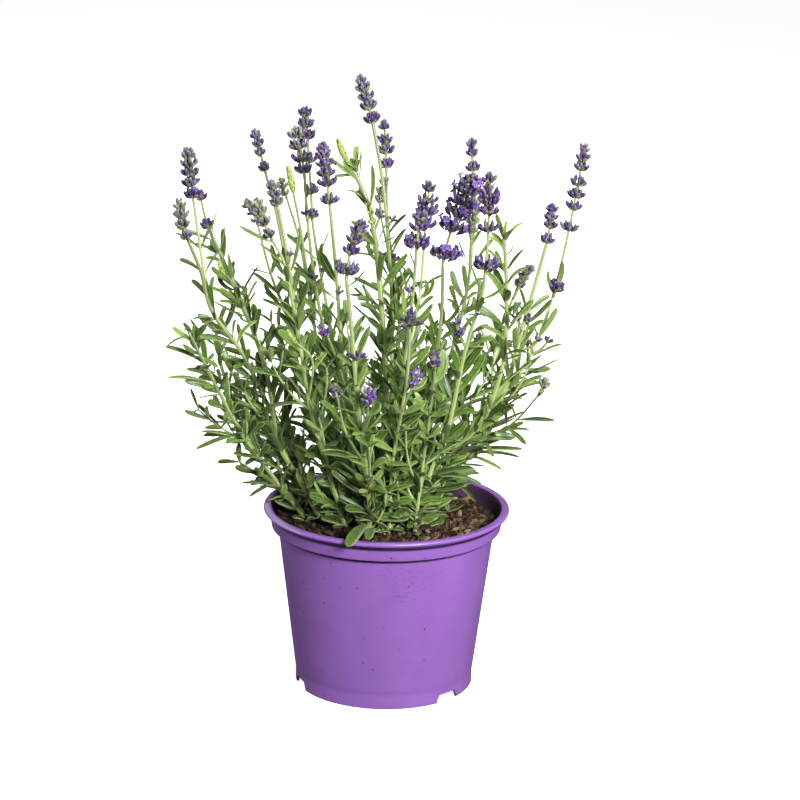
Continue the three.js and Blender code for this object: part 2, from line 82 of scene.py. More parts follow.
def newFinish(name, *tones):
    # a material, its tree and shader, and the outputs of the tones that its mesh carries
    finish = bpy.data.materials.new(name)
    finish.use_nodes = True
    tree = finish.node_tree
    carried = [addNode(tree, "Attribute", attribute_name=tone).outputs["Fac"] for tone in tones]
    return finish, tree, tree.nodes["Principled BSDF"], *carried


# Curves

def unit(v):
    return v / np.maximum(np.linalg.norm(v, axis=-1, keepdims=True), 1e-9)


def smoothRoute(points, perSpan=12):
    # centripetal Catmull-Rom through the points, the curve that the stems follow
    p = np.array(points, float)
    p = np.vstack([2 * p[0] - p[1], p, 2 * p[-1] - p[-2]])
    t = np.linspace(0, 1, perSpan, endpoint=False)[:, None]
    spans = []
    for a, b, c, d in zip(p, p[1:], p[2:], p[3:]):
        ta, tb, tc = (np.linalg.norm(v) ** 0.5 for v in (b - a, c - b, d - c))
        m = ((b - a) / ta - (c - a) / (ta + tb) + (c - b) / tb) * tb
        n = ((c - b) / tb - (d - b) / (tb + tc) + (d - c) / tc) * tb
        spans.append(b + m * t + (3 * (c - b) - 2 * m - n) * t ** 2 + (2 * (b - c) + m + n) * t ** 3)
    return np.vstack(spans + [p[-2:-1]])


def bentRoute(start, bend, tip, count=24):
    t = np.linspace(0, 1, count)[:, None]
    return (1 - t) ** 2 * start + 2 * t * (1 - t) * bend + t ** 2 * tip


def routeLength(route):
    return np.linalg.norm(np.diff(route, axis=0), axis=1).sum()


def placeOn(route, share):
    # the point and direction at a share of a route's length
    run = np.concatenate([[0], np.cumsum(np.linalg.norm(np.diff(route, axis=0), axis=1))])
    ahead = np.gradient(route, run, axis=0)
    want = np.atleast_1d(share) * run[-1]
    at = np.stack([np.interp(want, run, route[:, k]) for k in range(3)], -1)
    way = unit(np.stack([np.interp(want, run, ahead[:, k]) for k in range(3)], -1))
    return (at[0], way[0]) if np.isscalar(share) else (at, way)


def sidesAlong(route):
    # two directions across a route, carried along it without twisting
    ahead = unit(np.gradient(route, axis=0))
    start = np.cross(ahead[0], (0.3, 1, 0.1))
    sides = [start / np.linalg.norm(start)]
    for way in ahead[1:]:
        side = sides[-1] - way * np.dot(sides[-1], way)
        sides.append(side / np.linalg.norm(side))
    sides = np.array(sides)
    return sides, np.cross(ahead, sides)


# Meshes. A form says how the points of one closed loft are joined, and a part is many copies of it.

def loftForm(rings, around):
    faces, places = [], []
    first, last = rings * around, rings * around + 1
    top = (rings - 1) * around
    for j in range(around):
        k = (j + 1) % around
        faces.append((first, k, j))
        places += [(0, j + 0.5), (1, j + 1), (1, j)]
        for i in range(rings - 1):
            a, b = i * around, (i + 1) * around
            faces.append((a + j, a + k, b + k, b + j))
            places += [(i + 1, j), (i + 1, j + 1), (i + 2, j + 1), (i + 2, j)]
        faces.append((top + j, top + k, last))
        places += [(rings, j), (rings, j + 1), (rings + 1, j + 0.5)]
    return formOf(faces, np.array(places) / (rings + 1, around))


def formOf(faces, places):
    totals = np.array([len(face) for face in faces])
    starts = np.concatenate([[0], np.cumsum(totals)[:-1]])
    turned = np.concatenate([np.arange(s, s + n)[::-1] for s, n in zip(starts, totals)])
    tris = np.array([(f[0], f[i], f[i + 1]) for f in faces for i in range(1, len(f) - 1)])
    return {"corners": np.concatenate(faces), "totals": totals, "turned": turned, "tris": tris,
            "places": places}


def newPart(form, points, cell, skin=0, smooth=True, **tones):
    # points are copies x points x 3 in mm, cell is each copy's width and height on the map in mm
    copies, size = points.shape[:2]
    spread = {key: np.broadcast_to(np.asarray(tone, float), (copies, size)) for key, tone in tones.items()}
    cells = np.broadcast_to(np.asarray(cell, float), (copies, 2))
    return {"form": form, "points": points, "cells": cells, "skin": skin, "smooth": smooth, "tones": spread}


def sharedMap(cells):
    # gives each copy a rectangle of the piece's square map, in shelves, in proportion to its size
    order = np.argsort(-cells[:, 1], kind="stable")
    scale = 1 / math.sqrt((cells[:, 0] * cells[:, 1]).sum())
    while True:
        wide = np.minimum(cells[:, 0] * scale, 1.0)
        high = cells[:, 1] * scale
        spots = np.zeros((len(cells), 4))
        x = y = shelf = 0.0
        for i in order:
            if x + wide[i] > 1.0001:
                x, y, shelf = 0.0, y + shelf, 0.0
            shelf = max(shelf, high[i])
            spots[i] = (x, y, wide[i], high[i])
            x += wide[i]
        if y + shelf <= 1:
            return spots
        scale *= 0.97


def buildPiece(name, parts, finishes, node):
    # one mesh of all the parts, standing for one node of the frame
    names = sorted({key for part in parts for key in part["tones"]})
    points, corners, totals, places, skins, smooths = [], [], [], [], [], []
    tones = {key: [] for key in names}
    spots = sharedMap(np.vstack([part["cells"] for part in parts]))
    base = used = 0
    inset = 0.0007
    for part in parts:
        form, pts = part["form"], part["points"]
        copies, size = pts.shape[:2]
        a, b, c = (pts[:, form["tris"][:, k]] for k in range(3))
        inward = (a * np.cross(b, c)).sum((1, 2)) < 0
        order = np.where(inward[:, None], form["turned"], np.arange(len(form["turned"])))
        offsets = base + size * np.arange(copies)[:, None]
        corners.append((form["corners"][order] + offsets).ravel())
        totals.append(np.tile(form["totals"], copies))
        spot = spots[used:used + copies, None]
        room = np.maximum(spot[..., 2:] - 2 * inset, inset)
        places.append((spot[..., :2] + inset + form["places"][order] * room).reshape(-1, 2))
        skins.append(np.full(len(totals[-1]), part["skin"]))
        smooths.append(np.full(len(totals[-1]), part["smooth"]))
        points.append(pts.reshape(-1, 3))
        for key in names:
            tones[key].append(part["tones"].get(key, np.zeros((copies, size))).ravel())
        base += copies * size
        used += copies
    totals = np.concatenate(totals)
    mesh = bpy.data.meshes.new(name)
    mesh.vertices.add(base)
    mesh.vertices.foreach_set("co", (np.concatenate(points) * mm).ravel())
    mesh.loops.add(int(totals.sum()))
    mesh.loops.foreach_set("vertex_index", np.concatenate(corners))
    mesh.polygons.add(len(totals))
    mesh.polygons.foreach_set("loop_start", np.concatenate([[0], np.cumsum(totals)[:-1]]))
    mesh.polygons.foreach_set("material_index", np.concatenate(skins))
    mesh.polygons.foreach_set("use_smooth", np.concatenate(smooths))
    mesh.uv_layers.new(name="OFBake").data.foreach_set("uv", np.concatenate(places).ravel())
    for key in names:
        mesh.attributes.new(key, "FLOAT", "POINT").data.foreach_set("value", np.concatenate(tones[key]))
    mesh.update(calc_edges=True)
    mesh.validate()
    for finish in finishes:
        mesh.materials.append(finish)
    piece = bpy.data.objects.new(name, mesh)
    bpy.context.scene.collection.objects.link(piece)
    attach(piece, "root")
    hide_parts(node)
    return piece


# Pot: polypropylene, injection moulded in a purple masterbatch. A satin skin with a broad soft
# highlight, a rounded bead, faint flow marks, small dark pits and a little potting dust.
potShape = {
    "rimRadius": 75, "height": 112.2, "bead": 2.8, "collarRadius": 71.3, "collarTaper": 1.2,
    "collarBottom": 99.4, "bodyTop": 66.1, "bodyBottom": 54.9, "footRadius": 53.7, "footHeight": 9.4,
    "footStep": 0.9, "wall": 1.4, "notches": (-160, -44, 78), "notchWidth": 17, "notchHeight": 5,
    "notchCorner": 2.2, "drainRadius": 4, "drainReach": 46, "steps": 180,
}


def bodyRadius(height):
    pot = potShape
    share = (height - pot["footHeight"]) / (pot["collarBottom"] - pot["footHeight"])
    return pot["bodyBottom"] + (pot["bodyTop"] - pot["bodyBottom"]) * share


def potOutline():
    # radius and height from the middle of the floor's underside, up the outside and down the inside
    pot = potShape
    wall, top, foot, collar = pot["wall"], pot["height"], pot["footHeight"], pot["collarBottom"]
    under, ring = foot - wall, pot["footRadius"] + pot["footStep"]
    rows = [(r, under) for r in (12, 24, 36, 44, 49)]
    rows += [(ring - wall - inward, z) for inward, z in (
        (0.9, under), (0.5, under - 0.3), (0.4, under - 1), (0.35, 5), (0.35, 2.5), (0.35, 0.8),
        (0.2, 0.25), (0, 0.03), (-0.3, 0))]
    rows += [(ring + out, z) for out, z in (
        (-0.5, 0), (-0.2, 0.05), (-0.04, 0.3), (0, 0.9), (0, 2.5), (0, foot - 2.5),
        (0.02, foot - 1.2), (0.1, foot - 0.6))]
    rows += [(bodyRadius(z) - d, z) for z, d in ((foot + 0.4, 0.16), (foot + 1.2, 0.04), (foot + 2.2, 0))]
    rows += [(bodyRadius(z), z) for z in np.linspace(foot + 8, collar - 4, 14)]
    rows += [(bodyRadius(z), z) for z in (collar - 3, collar - 2.3, collar - 0.9)]

    # the collar stands out from the body, and the bead from the collar
    rows += [(bodyRadius(collar) + 0.2, collar - 0.25), (bodyRadius(collar) + 0.8, collar)]
    out, edge = pot["collarRadius"] - pot["collarTaper"], top - pot["bead"]
    rows += [(out - 0.9, collar + 0.02), (out - 0.3, collar + 0.15), (out - 0.05, collar + 0.5),
             (out + 0.05, collar + 1.2)]
    rows += [(out + pot["collarTaper"] * s, collar + (edge - collar) * s) for s in (0.35, 0.6, 0.85)]
    rows += [(pot["collarRadius"] + d, edge - drop) for d, drop in (
        (-0.12, 1.9), (-0.08, 1.4), (-0.03, 0.35), (0.25, 0.05))]
    half = pot["bead"] / 2
    middle = pot["rimRadius"] - half
    rows += [(middle - 1.6, edge + 0.02), (middle - 0.5, edge + 0.05)]
    rows += [(middle + half * math.cos(math.radians(a)), top - half + half * math.sin(math.radians(a)))
             for a in range(-84, 97, 15)]

    # back down the inside
    lip, inner = pot["collarRadius"] - wall, out - wall
    rows += [(middle - 1.2, top - 0.06), (lip + 1.1, top - 0.1), (lip + 0.5, top - 0.25),
             (lip + 0.15, top - 0.8), (lip, edge - 1)]
    shelf = collar + wall
    rows += [(inner + 0.5, collar + 5), (inner + 0.05, shelf + 0.4), (inner - 0.3, shelf)]
    rows += [(bodyRadius(collar) - wall + 0.3, shelf - 0.2), (bodyRadius(collar) - wall, shelf - 0.8)]
    rows += [(bodyRadius(z) - wall, z) for z in np.linspace(collar - 10, foot + 2, 7)]
    rows += [(bodyRadius(foot) - wall - 0.3, foot + 0.3), (bodyRadius(foot) - wall - 1, foot)]
    return np.array(rows + [(r, foot) for r in (44, 36, 24, 12)])


def notchRise(angles):
    # how far the foot ring is raised at each angle, a flat-topped arch at every notch
    pot = potShape
    rise = np.zeros(len(angles))
    for middle in np.radians(pot["notches"]):
        across = np.abs((angles - middle + np.pi) % (2 * np.pi) - np.pi) * pot["footRadius"]
        inside = np.clip((pot["notchWidth"] / 2 - across) / pot["notchCorner"], 0, 1)
        rise = np.maximum(rise, pot["notchHeight"] * inside ** 0.7)
    return rise


def potTones(outline):
    # which rows are bead, which take the painted shadow under bead and collar, and which are inside
    pot = potShape
    radius, height = outline.T
    collar, edge = pot["collarBottom"], pot["height"] - pot["bead"]
    outer = np.arange(len(outline)) < height.argmax()
    under = (height > collar - 2.4) & (height < collar + 0.1) & (radius < pot["collarRadius"] - 1.4)
    below = (height > edge - 1.5) & (height < edge + 0.1) & (radius < pot["rimRadius"] - 1.6)
    return {"groove": np.where(outer, 1.0 * under + 0.5 * below, 0.0),
            "bead": 1.0 * ((height > edge + 0.1) & (radius > pot["collarRadius"])),
            "inside": 1.0 * (~outer & (height < pot["height"] - 0.3))}


def turnedPoints(outline, angles):
    ring = np.stack([np.cos(angles), np.sin(angles)], -1)
    flat = outline[:, None, :1] * ring[None]
    return np.concatenate([flat, np.broadcast_to(outline[:, None, 1:], flat.shape[:2] + (1,))], -1)


def makePot(finish):
    # the turned shape, with its steps set closer at the corners of each notch
    pot = potShape
    half = pot["notchWidth"] / 2
    steps = np.linspace(-np.pi, np.pi, pot["steps"], endpoint=False)
    sills = np.array([math.radians(notch) + side * (half - inward) / pot["footRadius"]
                      for notch in pot["notches"] for side in (-1, 1)
                      for inward in (-0.05, 0.3, 1.1, pot["notchCorner"])])
    sills = (sills + np.pi) % (2 * np.pi) - np.pi
    spare = [s for s in steps if np.abs(sills - s).min() > 0.012]
    angles = np.sort(np.concatenate([spare, sills]))
    outline = potOutline()
    rings = turnedPoints(outline, angles)
    under = pot["footHeight"] - pot["wall"]
    foot = (outline[:, 1] < under) & (outline[:, 0] > pot["footRadius"] - pot["wall"] - 1)
    share = 1 - rings[foot, :, 2] / under
    rings[foot, :, 2] += notchRise(angles)[None] * np.clip(share, 0, 1)
    points = np.concatenate([rings.reshape(-1, 3), [(0, 0, under), (0, 0, pot["footHeight"])]])[None]
    around = len(angles)
    tones = {key: np.append(np.repeat(tone, around), (0, 1)) for key, tone in potTones(outline).items()}
    part = newPart(loftForm(len(outline), around), points, (1, 1), **tones)
    drainHoles(buildPiece("nurseryPot", [part], [finish], "pot"))


def drainHoles(piece):
    # a round hole through the floor above each notch
    pot = potShape
    cutMesh = bpy.data.meshes.new("drain")
    shape = bmesh.new()
    reach, radius = pot["drainReach"] * mm, pot["drainRadius"] * mm
    floor = (pot["footHeight"] - pot["wall"] / 2) * mm
    for turn in np.radians(pot["notches"]):
        spot = Matrix.Translation((reach * math.cos(turn), reach * math.sin(turn), floor))
        bmesh.ops.create_cone(shape, cap_ends=True, segments=32, radius1=radius, radius2=radius,
                              depth=4 * pot["wall"] * mm, matrix=spot)
    shape.to_mesh(cutMesh)
    shape.free()
    cutter = bpy.data.objects.new("drain", cutMesh)
    bpy.context.scene.collection.objects.link(cutter)
    cut = piece.modifiers.new("drain", "BOOLEAN")
    cut.object = cutter
    cut.solver = "EXACT"
    shaped = bpy.data.meshes.new_from_object(piece.evaluated_get(bpy.context.evaluated_depsgraph_get()))
    piece.modifiers.clear()
    bare, piece.data = piece.data, shaped
    shaped.name = piece.name
    bpy.data.objects.remove(cutter)
    bpy.data.meshes.remove(cutMesh)
    bpy.data.meshes.remove(bare)


# Injection-moulded polypropylene: even purple all through, a satin skin (roughness 0.32 to 0.41)
# that gives a broad highlight, with pits where the melt froze and specks of dust from potting.
# Places and reaches are in metres.
def moulded(name):
    look = {"body": "#8a5fad", "deep": "#875ca9", "light": "#8d62b1", "pit": "#462a63",
            "dust": "#e2d8ea", "shadowInk": "#3d2650", "shadeAndFilm": "#44303f", "scuff": "#7b509d",
            "flowPerMm": 0.05, "pitsPerMm": 0.2, "dustPerMm": 0.11, "ripplePerMm": 0.35,
            "roughness": (0.32, 0.41), "beadPolish": 0.07, "scuffAt": (0.012, -0.062, 0.085),
            "scuffReach": (0.008, 0.024), "dashes": (250, 250, 1300)}
    finish, tree, shader, groove, bead, inside = newFinish(name, "groove", "bead", "inside")
    place = addNode(tree, "TexCoord").outputs["Object"]
    across = addNode(tree, "SeparateXYZ", {"Vector": place})
    cloud = addNode(tree, "TexNoise", {"Vector": place, "Scale": look["flowPerMm"] / mm, "Detail": 3.0})
    coat = addNode(tree, "ValToRGB", {"Fac": cloud},
                   stops=[(0.3, look["deep"]), (0.52, look["body"]), (0.75, look["light"])])

    # pits, most of them towards the left, and a few grains of dust
    cells = addNode(tree, "TexVoronoi", {"Vector": place, "Scale": look["pitsPerMm"] / mm})
    rare = addNode(tree, "SeparateColor", {"Color": cells.outputs["Color"]})
    rarer = addNode(tree, "MapRange", {"Value": across, 1: -0.045, 2: 0.05, 3: 0.25, 4: 0.8})
    chosen = addNode(tree, "Math", {0: rare, 1: rarer}, operation="GREATER_THAN")
    size = addNode(tree, "MapRange", {"Value": rare.outputs[1], 3: 0.045, 4: 0.12})
    spot = addNode(tree, "Math", {0: cells, 1: size}, operation="LESS_THAN")
    pit = addNode(tree, "Math", {0: chosen, 1: spot}, operation="MULTIPLY")
    grains = addNode(tree, "TexVoronoi", {"Vector": place, "Scale": look["dustPerMm"] / mm})
    few = addNode(tree, "SeparateColor", {"Color": grains.outputs["Color"]})
    some = addNode(tree, "Math", {0: few.outputs[2], 1: 0.72}, operation="GREATER_THAN")
    grain = addNode(tree, "Math", {0: grains, 1: 0.055}, operation="LESS_THAN")
    dust = addNode(tree, "Math", {0: some, 1: grain}, operation="MULTIPLY")

    # a patch of short level scuffs on the front, the bead paler on the left, painted shadow under
    # bead and collar, and painted shade with a soil film inside
    reach = addNode(tree, "VectorMath", {0: place, 1: look["scuffAt"]}, operation="DISTANCE")
    near = addNode(tree, "MapRange", {"Value": reach, 1: look["scuffReach"][0], 2: look["scuffReach"][1],
                                      3: 0.8, 4: 0.0})
    level = addNode(tree, "Mapping", {"Vector": place, "Scale": look["dashes"]})
    dashes = addNode(tree, "TexNoise", {"Vector": level, "Scale": 1.0, "Detail": 2.0})
    dash = addNode(tree, "MapRange", {"Value": dashes, 1: 0.56, 2: 0.64})
    scuff = addNode(tree, "Math", {0: near, 1: dash}, operation="MULTIPLY")
    # the bead mixed towards the pale dust colour on the left
    towardsLeft = addNode(tree, "MapRange", {"Value": across, 1: -0.05, 2: -0.074, 3: 0.0, 4: 0.35})
    worn = addNode(tree, "Math", {0: bead, 1: towardsLeft}, operation="MULTIPLY")
    # painted shadow: dark lines under the collar and, fainter, under the bead
    paintedShadow = addNode(tree, "Math", {0: groove, 1: 0.88}, operation="MULTIPLY")
    # painted shade over the inner wall, with a soil film
    innerShadeAndFilm = addNode(tree, "Math", {0: inside, 1: 0.86}, operation="MULTIPLY")
    for share, ink in ((pit, "pit"), (dust, "dust"), (scuff, "scuff"), (worn, "dust"), (paintedShadow, "shadowInk"),
                       (innerShadeAndFilm, "shadeAndFilm")):
        coat = addNode(tree, "Mix", {0: share, 6: coat, 7: look[ink]}, data_type="RGBA")

    low, high = look["roughness"]
    gloss = addNode(tree, "MapRange", {"Value": cloud, 3: low, 4: high})
    polish = addNode(tree, "Math", {0: bead, 1: -look["beadPolish"], 2: gloss}, operation="MULTIPLY_ADD")
    ripple = addNode(tree, "TexNoise", {"Vector": place, "Scale": look["ripplePerMm"] / mm, "Detail": 2.0})
    depth = addNode(tree, "Math", {0: ripple, 1: pit}, operation="SUBTRACT")
    bump = addNode(tree, "Bump", {"Strength": 0.25, "Distance": 0.0001, "Height": depth})
    plugIn(tree, shader, {"Base Color": coat, "Roughness": polish, "Normal": bump, "IOR": 1.49})
    return finish


print("pot")
makePot(moulded("mouldedPolypropylene"))


# Potting soil: composted bark with peat and a few chips and stones, loosely levelled by hand.
soilShape = {"edge": 102.6, "crown": 105, "bottom": 9.7, "gridStep": 1.3, "around": 250, "reach": 67.9,
             "chips": 3200, "chipLength": (1.4, 6.5), "chipWidth": (0.3, 0.7), "chipDepth": (0.25, 0.55),
             "chipLumps": 0.22, "chipPitch": 0.6, "chipRoll": 0.5, "seed": 11}


def soilSurface(x, y):
    # height of the bed, humped towards the middle, with hollows and crumbs
    soil = soilShape
    radius = np.hypot(x, y)
    rise = soil["edge"] + (soil["crown"] - soil["edge"]) * np.clip(1.25 - radius / 62, 0, 1)
    waves = 0.55 * np.sin(x * 0.21 + 1.3) * np.cos(y * 0.17 - 0.4) + 0.35 * np.sin(x * 0.53 - y * 0.41)
    crumbs = 0.3 * np.sin(x * 1.9 + 3 * np.sin(y * 0.7)) * np.sin(y * 2.3 + 2 * np.cos(x * 0.9))
    return rise + (waves + crumbs) * np.clip((soil["reach"] + 2 - radius) / 6, 0.3, 1)


def bedPart():
    # one closed block: up the pot's inner wall, then rings inward over the surface
    soil, pot = soilShape, potShape
    radii = np.arange(soil["reach"], 0.8, -soil["gridStep"])
    angles = np.linspace(0, 2 * np.pi, soil["around"], endpoint=False)
    shelf = pot["collarBottom"] + pot["wall"]
    wall = [(bodyRadius(z) - pot["wall"] - gap, z) for z, gap in (
        (soil["bottom"], 1.6), (soil["bottom"] + 2, 0.4), (shelf - 0.8, 0.35))]
    wall += [(soil["reach"] + 0.3, shelf + 0.4), (soil["reach"] + 0.3, soil["edge"] - 0.9)]
    rows = turnedPoints(np.array(wall + [(r, 0) for r in radii]), angles)
    rows[len(wall):, :, 2] = soilSurface(rows[len(wall):, :, 0], rows[len(wall):, :, 1])
    poles = [(0, 0, soil["bottom"]), (0, 0, float(soilSurface(0.0, 0.0)))]
    points = np.concatenate([rows.reshape(-1, 3), poles])[None]
    return newPart(loftForm(len(rows), len(angles)), points, (120, 120), tone=0.1, chip=0.0)


def chipForm():
    shape = bmesh.new()
    bmesh.ops.create_icosphere(shape, subdivisions=1, radius=1)
    points = np.array([v.co for v in shape.verts])
    faces = [tuple(v.index for v in face.verts) for face in shape.faces]
    shape.free()
    flat = np.array([(0.5 + math.atan2(points[v][1], points[v][0]) / 7, 0.5 + points[v][2] / 2.2)
                     for face in faces for v in face])
    return formOf(faces, flat), points


def chipPart(rng):
    # flat broken bits of bark lying at all angles, half sunk in the bed
    soil = soilShape
    form, ball = chipForm()
    count = soil["chips"]
    radius = (soil["reach"] - 2.5) * np.sqrt(rng.uniform(0.02, 1, count))
    turn = rng.uniform(0, 2 * np.pi, count)
    x, y = radius * np.cos(turn), radius * np.sin(turn)
    low, high = soil["chipLength"]
    length = low + (high - low) * rng.uniform(0, 1, count) ** 2.4
    width, depth = (length * rng.uniform(*soil[key], count) for key in ("chipWidth", "chipDepth"))
    size = np.stack([length * 1.25, width, depth], -1) / 2
    lumps = 1 + soil["chipLumps"] * rng.standard_normal((count, len(ball), 1)).clip(-1.6, 1.6)
    points = ball[None] * lumps * size[:, None]
    spin = spinBy(rng.uniform(0, 2 * np.pi, count), rng.normal(0, soil["chipPitch"], count),
                  rng.normal(0, soil["chipRoll"], count))
    points = np.einsum("nij,nkj->nki", spin, points)
    lift = soilSurface(x, y) + size[:, 2] * rng.uniform(-0.1, 0.9, count)
    points += np.stack([x, y, lift], -1)[:, None]
    return newPart(form, points, np.stack([length * 2, length * 1.4], -1), smooth=False,
                   tone=rng.uniform(0, 1, (count, 1)), chip=1.0)


def spinBy(turn, pitch, roll):
    # rotation matrices: roll about X, then pitch about Y, then turn about Z
    spin = np.eye(3)
    for angle, a, b in ((turn, 0, 1), (pitch, 2, 0), (roll, 1, 2)):
        step = np.tile(np.eye(3), (len(angle), 1, 1))
        step[:, a, a] = step[:, b, b] = np.cos(angle)
        step[:, a, b], step[:, b, a] = -np.sin(angle), np.sin(angle)
        spin = spin @ step
    return spin


# Composted bark and peat: matt and fibrous, every bit its own brown, tan or rust, darker towards
# the left and nearly black in the gaps.
def barkAndPeat(name):
    look = {"bed": ("#1d130d", "#3a271a"), "grainPerMm": 1.1, "leftLevel": 0.38, "rightLevel": 1.12,
            "bits": [(0.0, "#1c140e"), (0.3, "#35271c"), (0.58, "#51402f"), (0.78, "#6f5a42"),
                     (0.87, "#5e4330"), (0.95, "#796447"), (1.0, "#8d7b5d")]}
    finish, tree, shader, tone, chip = newFinish(name, "tone", "chip")
    place = addNode(tree, "TexCoord").outputs["Object"]
    grain = addNode(tree, "TexNoise", {"Vector": place, "Scale": look["grainPerMm"] / mm, "Detail": 4.0})
    bed = addNode(tree, "ValToRGB", {"Fac": grain}, stops=[(0.38, look["bed"][0]), (0.66, look["bed"][1])])
    bits = addNode(tree, "ValToRGB", {"Fac": tone}, stops=look["bits"])
    worn = addNode(tree, "MapRange", {"Value": grain, 1: 0.3, 2: 0.72, 3: 0.55, 4: 1.35})
    shaded = addNode(tree, "VectorMath", {0: bits, "Scale": worn}, operation="SCALE")
    mixed = addNode(tree, "Mix", {0: chip, 6: bed, 7: shaded}, data_type="RGBA")
    across = addNode(tree, "SeparateXYZ", {"Vector": place})
    # darker towards the left, a little brighter towards the right
    sideLevel = addNode(tree, "MapRange", {"Value": across, 1: -0.03, 2: 0.02,
                                         3: look["leftLevel"], 4: look["rightLevel"]})
    coat = addNode(tree, "VectorMath", {0: mixed, "Scale": sideLevel}, operation="SCALE")
    bump = addNode(tree, "Bump", {"Strength": 0.6, "Distance": 0.0004, "Height": grain})
    plugIn(tree, shader, {"Base Color": coat, "Normal": bump, "Roughness": 0.92,
                          "Specular IOR Level": 0.25})
    return finish


print("soil")
buildPiece("pottingSoil", [bedPart(), chipPart(np.random.default_rng(soilShape["seed"]))],
           [barkAndPeat("compostedBarkAndPeat")], "potting_soil")


# Leaves: narrow blunt blades with a sunk midrib and margins rolled under, in crossed pairs, with
# tufts of smaller leaves in their axils. A section runs from one margin over the top and back, as
# shares of half the width, and a profile gives the width along the blade.
leafShape = {
    "section": [(-1, -0.12), (-0.82, 0.1), (-0.45, 0.17), (0, -0.08), (0.45, 0.17), (0.82, 0.1), (1, -0.12),
                (0.7, -0.2), (0.36, -0.08), (0, -0.32), (-0.36, -0.08), (-0.7, -0.2)],
    "profile": [(0, 0.2), (0.05, 0.32), (0.12, 0.48), (0.22, 0.7), (0.34, 0.87), (0.47, 0.97), (0.6, 1),
                (0.72, 0.99), (0.82, 0.92), (0.9, 0.77), (0.955, 0.56), (0.985, 0.32)],
    "smallSection": [(-1, -0.08), (-0.5, 0.2), (0, -0.04), (0.5, 0.2), (1, -0.08), (0.5, -0.14), (0, -0.34),
                     (-0.5, -0.14)],
    "smallProfile": [(0, 0.25), (0.1, 0.48), (0.28, 0.82), (0.5, 1), (0.7, 0.98), (0.86, 0.8),
                     (0.96, 0.46)],
    "thickness": 1.1, "mouth": 66, "aboveSoil": 107.0, "aboveRim": 115.0, "tuftShare": 0.45,
    "footPairs": 9, "footFrom": (0.04, 0.25), "sidePairEvery": 20, "branches": 4,
    "branchFrom": (0.1, 0.46), "branchLength": (24, 52), "branchPairEvery": 10, "handWidth": 1.18,
    "handNarrowest": 2.7,
}
# What the smaller leaves' random draws run between. A length is in mm, or a share of a large leaf's
# in tufts and on side stems. A tone is a middle and a spread, but in tufts what is added to one.
leafKinds = {
    "tuft": dict(length=(0.42, 0.72), width=(2.6, 3.8), lift=(1.0, 1.5), tone=(-0.1, 0.25)),
    "branch": dict(length=(15, 23), width=(3.0, 4.6), lift=(0.95, 1.45), tone=(0, 0.14)),
    "side": dict(length=(0.6, 0.9), width=(3, 4.4), lift=(0.9, 1.4), tone=(0.4, 0.16)),
    "foot": dict(length=(9, 18), width=(4.6, 7.2), lift=(0.5, 1.2), tone=(0.25, 0.15)),
}
largeForm = loftForm(12, 12)
smallForm = loftForm(7, 8)


def bladePart(leaves, small, skin=0):
    # each leaf has its route (start, middle, end), the way its upper face looks, and its width
    blade = leafShape
    profile = np.array(blade["smallProfile" if small else "profile"])
    section = np.array(blade["smallSection" if small else "section"])
    start, middle, end = (np.array([leaf["route"][k] for leaf in leaves]) for k in range(3))
    take = lambda key: np.array([leaf.get(key, 0.0) for leaf in leaves])[:, None, None]
    sway, width = take("sway"), take("width")
    look = np.array([leaf["look"] for leaf in leaves])[:, None]
    u = profile[:, 0][None, :, None]
    centre = (1 - u) ** 2 * start[:, None] + 2 * u * (1 - u) * middle[:, None] + u ** 2 * end[:, None]
    ahead = unit((1 - u) * (middle - start)[:, None] + u * (end - middle)[:, None])
    across = unit(np.cross(ahead, look))
    face = np.cross(across, ahead)
    twist = take("roll") + take("twist") * u
    across, face = (across * np.cos(twist) + face * np.sin(twist),
                    face * np.cos(twist) - across * np.sin(twist))
    length = np.linalg.norm(end - start, axis=-1)[:, None, None]
    centre = centre + across * sway * length * u ** 2
    half = width[..., None] / 2 * profile[:, 1][None, :, None, None]
    s, t = section[:, 0][None, None, :, None], section[:, 1][None, None, :, None]
    rise = t * blade["thickness"] + take("cup")[..., None] * np.abs(s)
    points = centre[:, :, None] + across[:, :, None] * s * half + face[:, :, None] * rise * half
    copies, rings, around = points.shape[:3]
    tip = end + (end - middle) * 0.02 + across[:, -1] * sway[:, 0] * length[:, 0]
    points = np.concatenate([points.reshape(copies, -1, 3), np.stack([start, tip], 1)], 1)
    under = np.where(np.arange(around) <= around // 2, 0.0, 1.0)
    cell = np.stack([length[:, 0, 0], width[:, 0, 0] * 2.2], -1)
    return newPart(smallForm if small else largeForm, points, cell, skin,
                   along=np.append(np.repeat(profile[:, 0], around), (0, 1)),
                   side=np.append(np.tile(np.abs(section[:, 0]), rings), (0, 0)),
                   under=np.append(np.tile(under, rings), (0, 0)),
                   tone=np.array([leaf["tone"] for leaf in leaves])[:, None])


def scatter(shoot, pair, use):
    # the same repeatable number as in the solids, from 0 to 1
    wave = math.sin(shoot * 12.9898 + pair * 78.233 + use * 37.719) * 43758.5453
    return wave - math.floor(wave)


def archedRoute(at, along, outward, length, lift):
    # up and out from the stem and then over, in shares of the leaf's length
    middle = at + along * 0.42 * lift * length + outward * 0.34 * length
    end = at + along * 0.64 * lift * length + outward * length * (1.12 - 0.42 * lift)
    return keptClear([at, middle, end - upright * 0.06 * length])


def keptClear(route):
    # lifts a leaf off the soil inside the rim, and off the rim itself
    cleared = [route[0]]
    for x, y, z in route[1:]:
        floor = leafShape["aboveSoil" if math.hypot(x, y) < leafShape["mouth"] else "aboveRim"]
        cleared.append(np.array([x, y, max(z, floor)]))
    return cleared


def sideways(along, turn):
    side = np.array([math.cos(turn), math.sin(turn), 0.0])
    return unit(side - along * np.dot(side, along))


